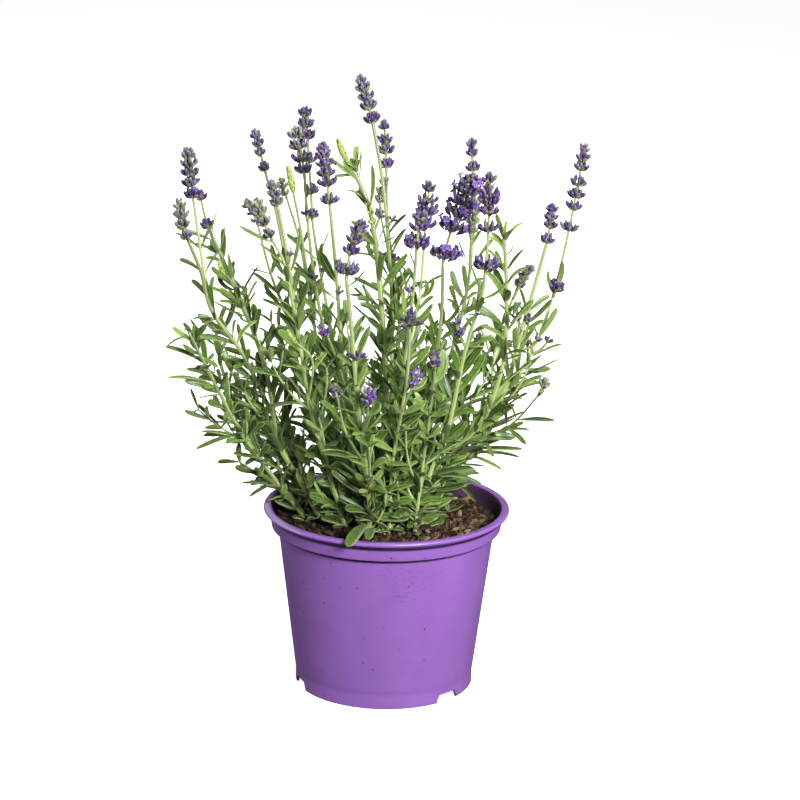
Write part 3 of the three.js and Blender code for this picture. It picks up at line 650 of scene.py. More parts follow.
def grownLeaf(rng, at, along, outward, length, width, lift, tone):
    return {"route": archedRoute(at, along, outward, length, lift), "look": along - outward * 0.8,
            "width": width, "tone": tone, "roll": rng.normal(0, 0.42), "twist": rng.normal(0, 0.5),
            "sway": rng.normal(0, 0.06), "cup": rng.uniform(0.0, 0.3)}


def axilTuft(rng, leaves, at, along, outward, length, tone):
    # a short side shoot in the axil, one to three pairs of small narrow leaves
    kind = leafKinds["tuft"]
    way = unit(along * rng.uniform(0.9, 1.5) + outward * rng.uniform(0.4, 0.8))
    reach = length * rng.uniform(0.1, 0.3)
    for pair in range(rng.integers(1, 4)):
        foot = at + outward * 0.8 + way * reach * pair
        size = length * rng.uniform(*kind["length"]) * (1 - 0.12 * pair)
        turn = rng.uniform(0, math.pi)
        for half in (0, math.pi):
            leaves.append(grownLeaf(rng, foot, way, sideways(way, turn + half), size,
                                    rng.uniform(*kind["width"]), rng.uniform(*kind["lift"]),
                                    min(1, tone + rng.uniform(*kind["tone"]))))


def leafyBranch(rng, stem, share, length):
    # a flowerless side shoot that rises beside its stem, closely set with leaf pairs
    kind = leafKinds["branch"]
    at, along = placeOn(stem, share)
    outward = sideways(along, rng.uniform(0, 2 * math.pi))
    tip = at + along * length * 0.86 + outward * length * rng.uniform(0.3, 0.5)
    route = bentRoute(at, at + along * length * 0.4 + outward * length * 0.34, tip, 10)
    leaves = []
    pairs = int(length / leafShape["branchPairEvery"])
    turn = rng.uniform(0, math.pi)
    for pair in range(pairs):
        spot, ahead = placeOn(route, 0.22 + 0.77 * pair / max(pairs - 1, 1))
        size = rng.uniform(*kind["length"]) * (1.05 - 0.45 * pair / pairs)
        for half in (0, math.pi):
            side = sideways(ahead, turn + pair * math.pi / 2 + half + rng.normal(0, 0.2))
            tone = np.clip(0.26 + 0.36 * pair / pairs + rng.normal(*kind["tone"]), 0, 1)
            leaves.append(grownLeaf(rng, spot, ahead, side, size, rng.uniform(*kind["width"]),
                                    rng.uniform(*kind["lift"]), tone))
    return route, leaves


def placedLeaf(rng, route, share, x, y, z, bow, width):
    # a leaf set one by one: the share of the stem it grows from, its tip, how far it bows and its width
    at, along = placeOn(route, share)
    tip = np.array([x, y, z], float)
    middle = (at + tip) / 2 + unit(np.array([at[2] - z, 0, x - at[0]])) * bow
    look = along - unit(tip - at) * 0.7 + frontward * rng.uniform(0.7, 1.5) + rng.normal(0, 0.25, 3)
    width = max(leafShape["handNarrowest"], width * leafShape["handWidth"])
    return {"route": keptClear([at, middle, tip]), "look": look, "width": width, "roll": rng.normal(0, 0.1),
            "tone": np.clip(0.15 + 0.35 * share + rng.normal(0, 0.17), 0, 1),
            "twist": rng.normal(0, 0.3), "cup": rng.uniform(0.05, 0.3)}


def leavesOf(shoot, number, routes):
    # the large leaves of a shoot and the small ones, from its first stem and then its side stems
    rng = np.random.default_rng(200 + number)
    large, small = [], []
    pairs, first, last, length = shoot["leaves"]
    for pair in range(pairs):
        share = pair / (pairs - 1)
        at, along = placeOn(routes[0], first + (last - first) * share)
        size = length * (0.92 + 0.36 * math.sin(math.pi * min(1, share + 0.15)) - 0.26 * share)
        width = (5.6 - 1.9 * share) * rng.uniform(0.85, 1.15)
        for half in (0, 1):
            crossed = (pair % 2) * math.pi / 2 + half * math.pi
            outward = sideways(along, crossed + number + 0.8 * (scatter(number, pair, half) - 0.5))
            lift = 0.8 + 0.5 * scatter(number, pair, half + 2) + 0.25 * share
            tone = np.clip(0.24 + 0.22 * share + rng.normal(0, 0.15), 0, 1)
            large.append(grownLeaf(rng, at, along, outward, size, width, lift, tone))
            if rng.uniform() < leafShape["tuftShare"]:
                axilTuft(rng, small, at, along, outward, size, tone)
    kind = leafKinds["side"]
    for route in routes[1:]:
        count = int(routeLength(route) / leafShape["sidePairEvery"])
        for pair in range(count):
            at, along = placeOn(route, 0.1 + 0.66 * pair / max(count, 1))
            turn = rng.uniform(0, math.pi)
            for half in (0, math.pi):
                size = length * rng.uniform(*kind["length"])
                tone = np.clip(rng.normal(*kind["tone"]), 0, 1)
                large.append(grownLeaf(rng, at, along, sideways(along, turn + half), size,
                                       rng.uniform(*kind["width"]), rng.uniform(*kind["lift"]), tone))
    kind = leafKinds["foot"]
    for pair in range(leafShape["footPairs"]):
        at, along = placeOn(routes[0], rng.uniform(*leafShape["footFrom"]))
        turn = rng.uniform(0, math.pi)
        for half in (0, math.pi):
            tone = np.clip(rng.normal(*kind["tone"]), 0, 1)
            size = rng.uniform(*kind["length"])
            large.append(grownLeaf(rng, at, along, sideways(along, turn + half), size,
                                   rng.uniform(*kind["width"]), rng.uniform(*kind["lift"]), tone))
    for leaf in shoot.get("single", ()):
        large.append({"route": np.array(leaf["route"], float), "look": upright, "width": leaf["width"],
                      "tone": 0.42, "cup": 0.1})
    for route, stem in zip(routes, shoot["stems"]):
        large += [placedLeaf(rng, route, *row) for row in stem.get("hand", ())]
    branches = []
    for share in np.linspace(*leafShape["branchFrom"], leafShape["branches"]):
        route, leaves = leafyBranch(rng, routes[0], share + rng.uniform(-0.04, 0.04),
                                    rng.uniform(*leafShape["branchLength"]))
        branches.append(route)
        small += leaves
    return large, small, branches


# Stems: square, with blunt ridges and slightly hollow sides, swollen at every leaf pair.
stemShape = {
    "section": [(1, 0.62), (0.62, 1), (0, 0.86), (-0.62, 1), (-1, 0.62), (-0.86, 0), (-1, -0.62),
                (-0.62, -1), (0, -0.86), (0.62, -1), (1, -0.62), (0.86, 0)],
    "ringStep": 3.0, "nodeSwell": 0.3, "nodeReach": 1.6, "taper": 0.3, "branch": 1.3,
}


def stemPart(route, side, nodes, first, skin=0):
    stem = stemShape
    length = routeLength(route)
    shares = np.linspace(0, 1, max(5, int(length / stem["ringStep"])))
    at, _ = placeOn(route, shares)
    sides, ups = sidesAlong(at)
    swell = np.zeros(len(shares))
    for node in nodes:
        swell = np.maximum(swell, np.exp(-((shares - node) * length / stem["nodeReach"]) ** 2))
    girth = side * (1 - stem["taper"] * shares) * (1 + stem["nodeSwell"] * swell)
    section = np.array(stem["section"]) / 2
    s, t = section[:, 0][None, :, None], section[:, 1][None, :, None]
    rings = at[:, None] + (sides[:, None] * s + ups[:, None] * t) * girth[:, None, None]
    points = np.concatenate([rings.reshape(-1, 3), at[:1], at[-1:]])[None]
    around = len(section)
    return newPart(loftForm(len(shares), around), points, (length, side * 4), skin, tone=first,
                   along=np.append(np.repeat(shares, around), (0, 1)),
                   side=np.append(np.tile([1, 1, 0], len(shares) * around // 3), (0, 0)))


# Live lavender leaf: a thin green blade under fine grey felt. The felt takes the shine off and
# pales the raised margins, and the sunk midrib shows as a light line with painted shade as a dark
# line beside it. A layer is a tone, its range, the cover at both ends of that range, and a colour.
def feltedLeaf(name):
    look = {"shade": "#1f3604", "leaf": "#43641a", "light": "#7a9746", "young": "#9fae66",
            "felt": "#d0dc9e", "under": "#839a58", "cloudPerMm": 0.5, "feltPerMm": 1.4}
    finish, tree, shader, along, side, under, tone = newFinish(name, "along", "side", "under", "tone")
    place = addNode(tree, "TexCoord").outputs["Object"]
    cloud = addNode(tree, "TexNoise", {"Vector": place, "Scale": look["cloudPerMm"] / mm, "Detail": 3.0})
    shift = addNode(tree, "MapRange", {"Value": cloud, 1: 0.25, 2: 0.75, 3: -0.14, 4: 0.14})
    toneHere = addNode(tree, "Math", {0: tone, 1: shift}, operation="ADD")
    coat = addNode(tree, "ValToRGB", {"Fac": toneHere},
                   stops=[(0.0, look["shade"]), (0.35, look["leaf"]), (0.7, look["light"]),
                          (1.0, look["young"])])
    # the second layer is the midrib groove's painted shade
    for source, low, high, start, end, ink in (
            (side, 0.55, 0.95, 0.0, 0.25, "felt"), (side, 0.0, 0.3, 0.7, 0.0, "shade"),
            (side, 0.0, 0.14, 0.6, 0.0, "young"), (along, 0.0, 0.25, 0.55, 0.0, "young"),
            (under, 0.0, 1.0, 0.0, 0.55, "under")):
        cover = addNode(tree, "MapRange", {"Value": source, 1: low, 2: high, 3: start, 4: end})
        coat = addNode(tree, "Mix", {0: cover, 6: coat, 7: look[ink]}, data_type="RGBA")
    felt = addNode(tree, "TexNoise", {"Vector": place, "Scale": look["feltPerMm"] / mm, "Detail": 2.0})
    bump = addNode(tree, "Bump", {"Strength": 0.2, "Distance": 0.0002, "Height": felt})
    plugIn(tree, shader, {"Base Color": coat, "Normal": bump, "Roughness": 0.36, "Specular IOR Level": 0.42,
                          "Sheen Weight": 0.05})
    return finish


# Live green stem: smooth and juicy, light yellow-green, with paler ridges along its four edges.
def squareStem(name):
    look = {"low": "#8ea654", "stem": "#97ad5e", "ridge": "#cad6a4", "old": "#7d924d", "stalk": "#73835b",
            "blotchPerMm": 0.12}
    finish, tree, shader, along, side, tone = newFinish(name, "along", "side", "tone")
    place = addNode(tree, "TexCoord").outputs["Object"]
    blotch = addNode(tree, "TexNoise", {"Vector": place, "Scale": look["blotchPerMm"] / mm, "Detail": 3.0})
    mixed = addNode(tree, "Math", {0: blotch, 1: tone}, operation="ADD")
    coat = addNode(tree, "ValToRGB", {"Fac": mixed},
                   stops=[(0.3, look["old"]), (0.6, look["low"]), (0.95, look["stem"])])
    for source, low, high, start, end, ink in (
            (along, 0.6, 0.95, 0.0, 0.85, "stalk"), (along, 0.04, 0.3, 0.85, 0.0, "old"),
            (side, 0.0, 1.0, 0.0, 0.42, "ridge")):
        cover = addNode(tree, "MapRange", {"Value": source, 1: low, 2: high, 3: start, 4: end})
        coat = addNode(tree, "Mix", {0: cover, 6: coat, 7: look[ink]}, data_type="RGBA")
    bump = addNode(tree, "Bump", {"Strength": 0.15, "Distance": 0.0002, "Height": blotch})
    plugIn(tree, shader, {"Base Color": coat, "Normal": bump, "Roughness": 0.46})
    return finish


# Every shoot has its leaf pairs (how many, between which shares of the first stem, and how long) and
# its stems. A stem has the side of its square, its route, and the spike on its tip with the tip and
# whorls of that spike, each whorl a share of the spike and a radius. All these are the frame's own
# values in millimetres. hand holds the larger leaves set one by one between the pairs, single the
# frame's few leaves that stand alone, and heads the small side heads that a stem bears in its axils.
shoots = [
    dict(leaves=(7, 0.22, 0.95, 25), stems=[
        dict(side=2.4, route=[(-38, -8, 90), (-67, -4, 127), (-89, -30, 169), (-102, -54, 204),
             (-114, -80, 239)], hand=[(0.19, -66, -7, 115, 1, 1.1), (0.25, -84, 2, 113, -2, 3),
             (0.37, -85, -19, 142, -1, 3), (0.38, -92, -17, 166, 0, 4.2), (0.46, -96, -28, 160, 1, 3.3),
             (0.5, -114, -28, 154, -2, 1.5), (0.55, -101, -40, 179, 1, 1.9),
             (0.61, -104, -47, 187, -2, 2.7), (0.69, -113, -38, 188, -1, 1),
             (0.7, -109, -57, 200, 0, 1.2), (0.72, -129, -51, 204, -6, 2.2),
             (0.73, -107, -56, 200, -1, 1.8), (0.84, -129, -63, 226, -4, 1.9),
             (0.88, -99, -57, 213, 0, 1.6), (0.89, -118, -73, 230, 1, 1.2), (0.91, -113, -80, 241, 3, 3),
             (0.91, -108, -79, 237, 0, 2.4), (0.94, -117, -81, 245, -2, 2.4)])],
        single=[dict(width=3, route=[(-113, -78, 236), (-119, -82, 238), (-126, -85, 232)])]),
    dict(leaves=(7, 0.2, 0.72, 28), stems=[
        dict(side=2.6, route=[(-32, 14, 90), (-71, 12, 166), (-89, -8, 210), (-105, -26, 239),
             (-110, -42, 266), (-116, -56, 287)], spike=1, tip=(-121, -60, 312), whorls=[(0.17, 3.6),
             (0.46, 4.8), (0.68, 4.9), (0.88, 3.8)], hand=[(0.14, -33, 9, 118, 2, 3),
             (0.3, -63, 11, 171, -2, 4.8), (0.32, -62, 13, 186, -6, 5.4), (0.41, -103, 8, 182, -5, 3.6),
             (0.42, -80, 8, 205, -1, 4.8), (0.5, -95, -4, 204, -4, 3), (0.61, -116, -11, 219, -3, 3.6),
             (0.61, -79, -6, 228, 5, 3.6), (0.64, -101, -8, 200, -6, 3), (0.73, -105, -30, 255, 1, 2.4)]),
        dict(side=2, route=[(-105, -26, 239), (-111, -16, 266), (-117, -8, 302)], spike=2,
             tip=(-120, -8, 331), whorls=[(0.12, 5.3), (0.35, 5.6), (0.55, 5.6), (0.73, 5.6),
             (0.9, 4.4)])]),
    dict(leaves=(10, 0.14, 0.93, 27), stems=[
        dict(side=2.8, route=[(-30, -14, 90), (-51, -8, 126), (-65, -3, 150), (-74, 4, 194),
             (-90, 12, 236), (-109, 20, 276)], spike=3, tip=(-115, 21, 300), whorls=[(0.21, 4.2),
             (0.89, 4)], hand=[(0.17, -57, -3, 108, 0, 2.4), (0.35, -84, 3, 158, -1, 3),
             (0.42, -78, -11, 165, -1, 2.4), (0.44, -78, -10, 172, -3, 2.2), (0.44, -63, -6, 190, 1, 4.8),
             (0.51, -59, -4, 200, 4, 3), (0.54, -65, -6, 200, 1, 1.8), (0.62, -88, 3, 218, -5, 3),
             (0.63, -72, 10, 218, 0, 1.4), (0.64, -65, 15, 201, 0, 1.3), (0.67, -82, 4, 236, -2, 4.2),
             (0.71, -91, 2, 231, 3, 3), (0.71, -87, 13, 240, 0, 3.3), (0.73, -106, 8, 236, 2, 2.7),
             (0.78, -115, 10, 245, -3, 1.6), (0.78, -91, 7, 248, 1, 1.8), (0.79, -79, 16, 257, 1, 1.6),
             (0.88, -112, 24, 259, -5, 2.1), (0.91, -102, 25, 277, -1, 3.6),
             (0.97, -129, 16, 279, -1, 1.8), (0.98, -104, 13, 290, 3, 1.8)]),
        dict(side=1.5, route=[(-93, 13, 242), (-97, 2, 252), (-99, -6, 256)], spike=4,
             tip=(-102, -6, 265), whorls=[(0.29, 2.4), (0.64, 2.2)], hand=[(0, -104, 17, 251, 6, 2.1),
             (0.09, -100, 8, 219, 4, 3), (0.24, -100, 13, 250, 1, 1.5)])]),
    dict(leaves=(7, 0.25, 0.97, 26), stems=[
        dict(side=2.4, route=[(-30, 30, 90), (-64, 35, 125), (-90, 45, 152), (-104, 54, 181),
             (-109, 62, 207)], hand=[(0.04, -24, 24, 91, 2, 4.8), (0.05, -27, 21, 103, 1, 4.2),
             (0.12, -58, 29, 89, -1, 2.4), (0.27, -61, 39, 99, 1, 3.6), (0.31, -73, 43, 116, -1, 1.8),
             (0.34, -82, 32, 119, 0, 2.4), (0.34, -62, 40, 117, 0, 1.5), (0.55, -82, 41, 173, 1, 4.2),
             (0.63, -92, 36, 173, -2, 1.2), (0.68, -93, 45, 183, 0, 3.6), (0.73, -126, 50, 182, -6, 3.6),
             (0.91, -124, 55, 213, 3, 1.3), (0.93, -129, 57, 206, -2, 1.8)])]),
    dict(leaves=(7, 0.12, 0.75, 27), stems=[
        dict(side=2.6, route=[(-20, -24, 90), (-35, -26, 142), (-44, -28, 172), (-52, -30, 217),
             (-59, -32, 267), (-66, -34, 304)], spike=5, tip=(-70, -34, 319), whorls=[(0.19, 4.2),
             (0.5, 4.2), (0.77, 3.8)], hand=[(0.23, -48, -32, 132, -2, 2.4),
             (0.25, -22, -20, 129, 1, 4.2), (0.32, -52, -34, 170, 3, 3), (0.32, -23, -22, 150, 1, 2.4),
             (0.34, -50, -31, 172, 0, 3), (0.38, -58, -35, 176, -6, 2.4), (0.41, -45, -32, 196, -4, 3.6),
             (0.48, -64, -30, 219, 1, 3.3), (0.51, -66, -30, 217, -5, 2.7), (0.52, -42, -21, 213, 1, 2.4),
             (0.54, -45, -22, 216, 0, 2.4), (0.59, -65, -37, 230, -2, 4.8), (0.62, -65, -24, 238, -1, 3),
             (0.65, -45, -35, 242, 1, 1.8), (0.66, -69, -35, 247, -4, 3), (0.7, -48, -36, 259, 0, 4.2),
             (0.81, -53, -29, 286, -1, 2.7)]),
        dict(side=1.8, route=[(-55, -31, 236), (-62, -40, 272), (-69, -45, 287)], spike=6,
             tip=(-78, -45, 310), whorls=[(0.15, 3.8), (0.46, 4.6), (0.69, 4.8), (0.87, 4)],
             hand=[(0.49, -69, -43, 283, 4, 3), (0.62, -77, -44, 284, -2, 1.8),
             (0.94, -87, -50, 295, 1, 1.6)]),
        dict(side=1.5, route=[(-47, -28, 185), (-45, -41, 214), (-54, -52, 227)], spike=7,
             tip=(-59, -52, 234), whorls=[(0.33, 2.6), (0.67, 2.8)], hand=[(0, -59, -34, 201, 0, 4.8),
             (0.84, -48, -37, 228, 2, 2.4)])],
        heads=[dict(foot=(0, 0.71), bend=(-54, -32, 245), tip=(-54, -34, 252), whorls=[(0.6, 2)],
               ripe=0.8), dict(foot=(0, 0.84), bend=(-58, -34, 274), tip=(-58, -35, 280),
               whorls=[(0.6, 2)], ripe=0.9)]),
    dict(leaves=(7, 0.15, 0.66, 26), stems=[
        dict(side=2.2, route=[(-24, 36, 90), (-39, 40, 141), (-57, 51, 208), (-71, 62, 278),
             (-78, 66, 303)], spike=8, tip=(-85, 66, 330), whorls=[(0.16, 3.6), (0.5, 3.5), (0.7, 3.8),
             (0.89, 3.4)], hand=[(0.09, -35, 32, 106, -1, 2.4), (0.47, -48, 40, 210, -1, 2.7)]),
        dict(side=1.8, route=[(-55, 50, 201), (-72, 37, 243), (-81, 30, 279)], spike=9,
             tip=(-89, 30, 294), whorls=[(0.24, 3.2), (0.52, 3.4), (0.8, 3.4)],
             hand=[(0.29, -79, 52, 227, -1, 1.5), (0.37, -77, 37, 241, 4, 2.4),
             (0.37, -67, 34, 211, -3, 2.1), (0.38, -66, 47, 241, 5, 2.4)])],
        heads=[dict(foot=(1, 0.28), bend=(-64, 42, 226), tip=(-64, 40, 233), whorls=[(0.6, 2.2)],
               ripe=0.7)]),
    dict(leaves=(7, 0.15, 0.7, 25), stems=[
        dict(side=2, route=[(-12, 20, 90), (-33, 22, 159), (-46, 8, 225), (-53, -4, 280),
             (-58, -10, 308)], spike=10, tip=(-61, -10, 322), whorls=[(0.26, 2.5), (0.57, 2.6),
             (0.78, 2.2)], hand=[(0.6, -50, 5, 230, -2, 2.7), (0.83, -62, -5, 281, -1, 2.1)]),
        dict(side=1.8, route=[(-46, 8, 225), (-55, 14, 273), (-63, 12, 300)], spike=11,
             tip=(-67, 12, 312), whorls=[(0.25, 2.9), (0.55, 3.2), (0.8, 2.9)],
             hand=[(0.57, -49, 9, 281, 0, 1.8)])],
        heads=[dict(foot=(0, 0.68), bend=(-47, 4, 241), tip=(-47, 2, 248), whorls=[(0.6, 2.2)])]),
    dict(leaves=(7, 0.15, 0.6, 26), stems=[
        dict(side=2.2, route=[(-12, -2, 90), (-29, 0, 178), (-42, 2, 233), (-49, 4, 279), (-52, 6, 314)],
             spike=12, tip=(-58, 6, 344), whorls=[(0.16, 5.8), (0.38, 6.6), (0.62, 6.4), (0.84, 5.6)],
             hand=[(0.35, -40, -6, 186, -2, 2.1), (0.43, -49, 6, 183, -4, 1.8),
             (0.63, -52, -7, 243, 0, 4.2), (0.69, -59, 11, 251, 0, 1.5), (0.71, -57, -4, 264, 0, 2.4),
             (0.94, -51, -3, 311, -2, 1.8)])],
        heads=[dict(foot=(0, 0.28), bend=(-26, -2, 158), tip=(-28, -4, 170), whorls=[(0.65, 2.9)]),
               dict(foot=(0, 0.71), bend=(-46, 1, 249), tip=(-46, 0, 258), whorls=[(0.6, 3)]),
               dict(foot=(0, 0.88), bend=(-51, 3, 290), tip=(-51, 1, 297), whorls=[(0.6, 3)])]),
    dict(leaves=(7, 0.15, 0.65, 27), stems=[
        dict(side=2.2, route=[(-14, 40, 90), (-28, 44, 166), (-40, 52, 227), (-47, 56, 264),
             (-49, 58, 277)], spike=13, tip=(-54, 58, 346), bend=(-50, 58, 301), whorls=[(0.05, 4.4),
             (0.27, 5.4), (0.55, 5.6), (0.76, 5.2), (0.86, 5.2), (0.95, 4.2)],
             hand=[(0.16, -25, 35, 125, -1, 1.8), (0.66, -36, 39, 227, 2, 2.4),
             (0.84, -42, 48, 264, 1, 3.6), (0.86, -55, 46, 262, 0, 3), (0.86, -38, 50, 272, 1, 2.1)])],
        heads=[dict(foot=(0, 0.81), bend=(-41, 52, 245), tip=(-41, 51, 252), whorls=[(0.5, 2.2)])]),
    dict(leaves=(7, 0.12, 0.66, 27), stems=[
        dict(side=2.6, route=[(-14, -16, 90), (-23, -18, 171), (-28, -19, 214), (-32, -21, 263),
             (-36, -22, 302)], spike=14, tip=(-41, -22, 338), whorls=[(0.13, 6.2), (0.41, 6.2),
             (0.56, 5.6), (0.7, 5.4), (0.84, 4.8), (0.93, 3.6)], hand=[(0.73, -57, -19, 263, 0, 2.4),
             (0.78, -41, -27, 275, 1, 4.8), (0.83, -29, -29, 273, -1, 1.5)]),
        dict(side=1.5, route=[(-25, -18, 188), (-32, -40, 218), (-36, -48, 230)], spike=15,
             tip=(-41, -48, 237), whorls=[(0.33, 3.4), (0.75, 3)], hand=[(0.45, -43, -37, 225, 0, 3.6),
             (0.53, -40, -40, 224, -1, 2.7)])],
        heads=[dict(foot=(0, 0.73), bend=(-31, -22, 248), tip=(-29, -23, 255), whorls=[(0.6, 2.4)])]),
    dict(leaves=(6, 0.14, 0.62, 30), stems=[
        dict(side=3, route=[(-10, -30, 90), (-10, -36, 127), (-15, -44, 166), (-19, -53, 208),
             (-24, -64, 261), (-25, -66, 269)], spike=16, tip=(-16, -66, 302), bend=(-24, -66, 288),
             whorls=[(0.16, 7.2), (0.49, 5.4), (0.68, 5.2), (0.84, 5), (0.95, 4)],
             hand=[(0.14, -27, -32, 125, 3, 5.4), (0.14, 14, -36, 116, 0, 5.4),
             (0.21, -33, -37, 145, 1, 4.2), (0.21, -22, -32, 131, -1, 2.1), (0.21, 16, -38, 138, 3, 4.5),
             (0.23, -30, -39, 147, -1, 2.4), (0.31, -10, -44, 172, 0, 1.8), (0.34, -7, -47, 175, -3, 3),
             (0.44, -26, -51, 178, 0, 2.4), (0.45, 6, -46, 184, 3, 3.6), (0.69, -30, -48, 219, -1, 3.6),
             (0.7, -11, -58, 239, 1, 4.2), (0.76, -16, -53, 238, 2, 3.6),
             (0.97, -14, -72, 276, -2, 1.5)]),
        dict(side=1.4, route=[(-13, -41, 150), (-24, -54, 173), (-29, -66, 197)], spike=17,
             tip=(-32, -66, 206), whorls=[(0.33, 3), (0.67, 3)], hand=[(0.69, -39, -63, 195, -2, 2.7)]),
        dict(side=1.4, route=[(-15, -44, 166), (-12, -56, 185), (-11, -62, 193)], spike=18,
             tip=(-12, -62, 204), whorls=[(0.35, 4.4), (0.71, 4.8)],
             hand=[(0.71, -5, -64, 195, -3, 4.8)])],
        single=[dict(width=8.4, route=[(-10, -33, 110), (-17, -58, 117.5), (-21.5, -82, 112.5)]),
                dict(width=6, route=[(-7, -34, 108), (-9, -58, 117), (-10, -76, 115.2)])],
        heads=[dict(foot=(0, 0.65), bend=(-19, -54, 213), tip=(-18, -56, 226), whorls=[(0.72, 5)])]),
    dict(leaves=(10, 0.1, 0.96, 27), stems=[
        dict(side=3.4, route=[(2, -2, 90), (0, 0, 153), (-2, 1, 196), (-7, 2, 255), (-13, 3, 295),
             (-21, 4, 314), (-27, 4, 324)], spike=19, tip=(-32, 4, 336), whorls=[(0.24, 2.8), (0.52, 2.9),
             (0.76, 2.4)], hand=[(0.12, 8, -5, 112, -5, 5.4), (0.24, -7, -9, 150, 0, 1.8),
             (0.24, 7, -7, 168, -1, 3), (0.28, -4, -11, 166, 0, 1.2), (0.33, 2, -6, 179, -1, 6),
             (0.4, 23, 0, 205, 3, 3), (0.41, -17, -3, 202, -2, 3), (0.49, -6, -5, 225, 3, 3),
             (0.49, -5, -2, 225, -2, 2.4), (0.49, 3, -7, 227, 2, 3.6), (0.56, -23, 5, 237, 2, 2.7),
             (0.56, -16, -3, 239, -2, 3), (0.59, -19, -3, 239, -6, 2.4), (0.6, -17, 8, 248, 1, 2.4),
             (0.61, -24, -2, 244, -4, 2.1), (0.61, -21, -5, 250, 2, 1.8), (0.65, -22, 8, 252, -2, 2.1),
             (0.65, 10, 1, 269, 2, 3), (0.73, -14, -7, 277, 4, 2.4), (0.73, -14, 10, 274, 3, 2.1),
             (0.74, -21, -6, 270, -2, 2.4), (0.75, -16, -5, 274, -2, 1.5), (0.77, -16, -7, 285, -1, 1.5),
             (0.87, -12, 2, 322, -3, 2.7), (0.88, -27, 9, 305, -4, 2), (0.94, -33, -1, 323, -1, 1.6),
             (0.94, -19, -1, 331, -1, 1.9)])],
        heads=[dict(foot=(0, 0.81), bend=(-12, 1, 291), tip=(-14, 0, 302), whorls=[(0.3, 2.6), (0.6, 2.8),
               (0.85, 2.4)], ripe=0.08), dict(foot=(0, 0.81), bend=(-7, 1, 288), tip=(-6, 0, 297),
               whorls=[(0.7, 3)])]),
    dict(leaves=(7, 0.12, 0.62, 27), stems=[
        dict(side=2.4, route=[(4, 16, 90), (2, 16, 174), (1, 13, 237), (-3, 11, 288), (-7, 9, 319),
             (-12, 8, 346)], spike=20, tip=(-20, 8, 373), whorls=[(0.13, 5.2), (0.4, 5.2), (0.58, 5),
             (0.78, 4.8), (0.93, 3.4)], hand=[(0.21, 8, 12, 150, 0, 1.8), (0.45, 12, 24, 216, 1, 2.4),
             (0.51, 7, 14, 248, 2, 3.6), (0.57, 11, 10, 255, 6, 4.8), (0.69, 9, 7, 283, 2, 3.3),
             (0.73, 9, 5, 292, 2, 2.4)])],
        heads=[dict(foot=(0, 0.75), bend=(0, 10, 286), tip=(2, 8, 291), whorls=[(0.7, 2.4)])]),
    dict(leaves=(7, 0.15, 0.65, 26), stems=[
        dict(side=2, route=[(8, 34, 90), (6, 42, 167), (5, 58, 226), (-2, 70, 268), (-4, 80, 304)],
             spike=21, tip=(-6, 80, 336), whorls=[(0.14, 5), (0.41, 5.8), (0.59, 4.8), (0.86, 3.4)]),
        dict(side=1.6, route=[(5, 56, 219), (-2, 62, 256), (-7, 66, 278)], spike=22, tip=(-4, 66, 303),
             whorls=[(0.13, 2.6), (0.42, 3.4), (0.61, 3.6), (0.84, 3.2)])],
        heads=[dict(foot=(0, 0.73), bend=(2, 62, 249), tip=(3, 61, 256), whorls=[(0.6, 3.1)])]),
    dict(leaves=(7, 0.14, 0.6, 28), stems=[
        dict(side=2.4, route=[(10, -16, 90), (5, -20, 166), (9, -31, 206), (13, -42, 248),
             (15, -52, 284)], spike=23, tip=(17, -52, 306), whorls=[(0.19, 8.2), (0.62, 6), (0.86, 5)],
             hand=[(0.26, 16, -13, 137, 1, 3.6), (0.38, 19, -27, 175, -1, 3),
             (0.59, 24, -27, 220, -3, 3.6), (0.75, 8, -43, 257, 3, 2.4), (0.75, 25, -42, 249, -3, 3),
             (0.76, 6, -49, 247, 3, 2.4), (0.89, 10, -40, 270, -1, 1.2), (0.94, 11, -59, 284, 0, 2.4)]),
        dict(side=2.2, route=[(9, -31, 206), (17, -21, 244), (20, -14, 284)], spike=24,
             tip=(22, -14, 317), whorls=[(0.22, 6.6), (0.44, 7.2), (0.65, 6.4), (0.85, 4.4)],
             hand=[(0.53, 25, -24, 261, -6, 1.8), (0.54, 20, -26, 260, -6, 1.8)])],
        heads=[dict(foot=(0, 0.84), bend=(12, -45, 255), tip=(11, -46, 262), whorls=[(0.6, 2.6)])]),
    dict(leaves=(7, 0.12, 0.72, 28), stems=[
        dict(side=2.6, route=[(14, 2, 90), (16, 0, 160), (27, -2, 198), (31, -4, 236), (31, -6, 266)],
             spike=25, tip=(49, -6, 320), bend=(33, -6, 284), whorls=[(0.09, 9.6), (0.38, 8.8),
             (0.54, 8.8), (0.67, 8.4), (0.8, 7.4), (0.92, 5.2)], hand=[(0.15, 17, -9, 108, -1, 3.6),
             (0.68, 24, -7, 228, 1, 3), (0.75, 29, 0, 229, 4, 2.4), (0.77, 29, 6, 238, -4, 3),
             (0.78, 41, -10, 240, -4, 2.4)])]),
    dict(leaves=(7, 0.14, 0.74, 28), stems=[
        dict(side=2.2, route=[(18, 22, 90), (24, 24, 159), (38, 23, 204), (47, 23, 245), (48, 22, 275)],
             spike=26, tip=(51, 22, 299), whorls=[(0.23, 4), (0.46, 4.8), (0.69, 4.6), (0.87, 3.6)],
             hand=[(0.11, 19, 17, 102, -1, 1.8), (0.26, 29, 15, 147, 0, 6.6),
             (0.79, 37, 29, 253, 3, 3.6)]),
        dict(side=1.7, route=[(37, 24, 198), (48, 50, 242), (51, 70, 276), (50, 82, 301)], spike=27,
             tip=(48, 82, 325), whorls=[(0.24, 4.6), (0.59, 3.7), (0.81, 3.6)],
             hand=[(0.16, 39, 28, 225, -1, 2.4)])]),
    dict(leaves=(7, 0.12, 0.86, 28), stems=[
        dict(side=2.8, route=[(20, -14, 90), (26, -16, 137), (35, -22, 163), (45, -35, 220),
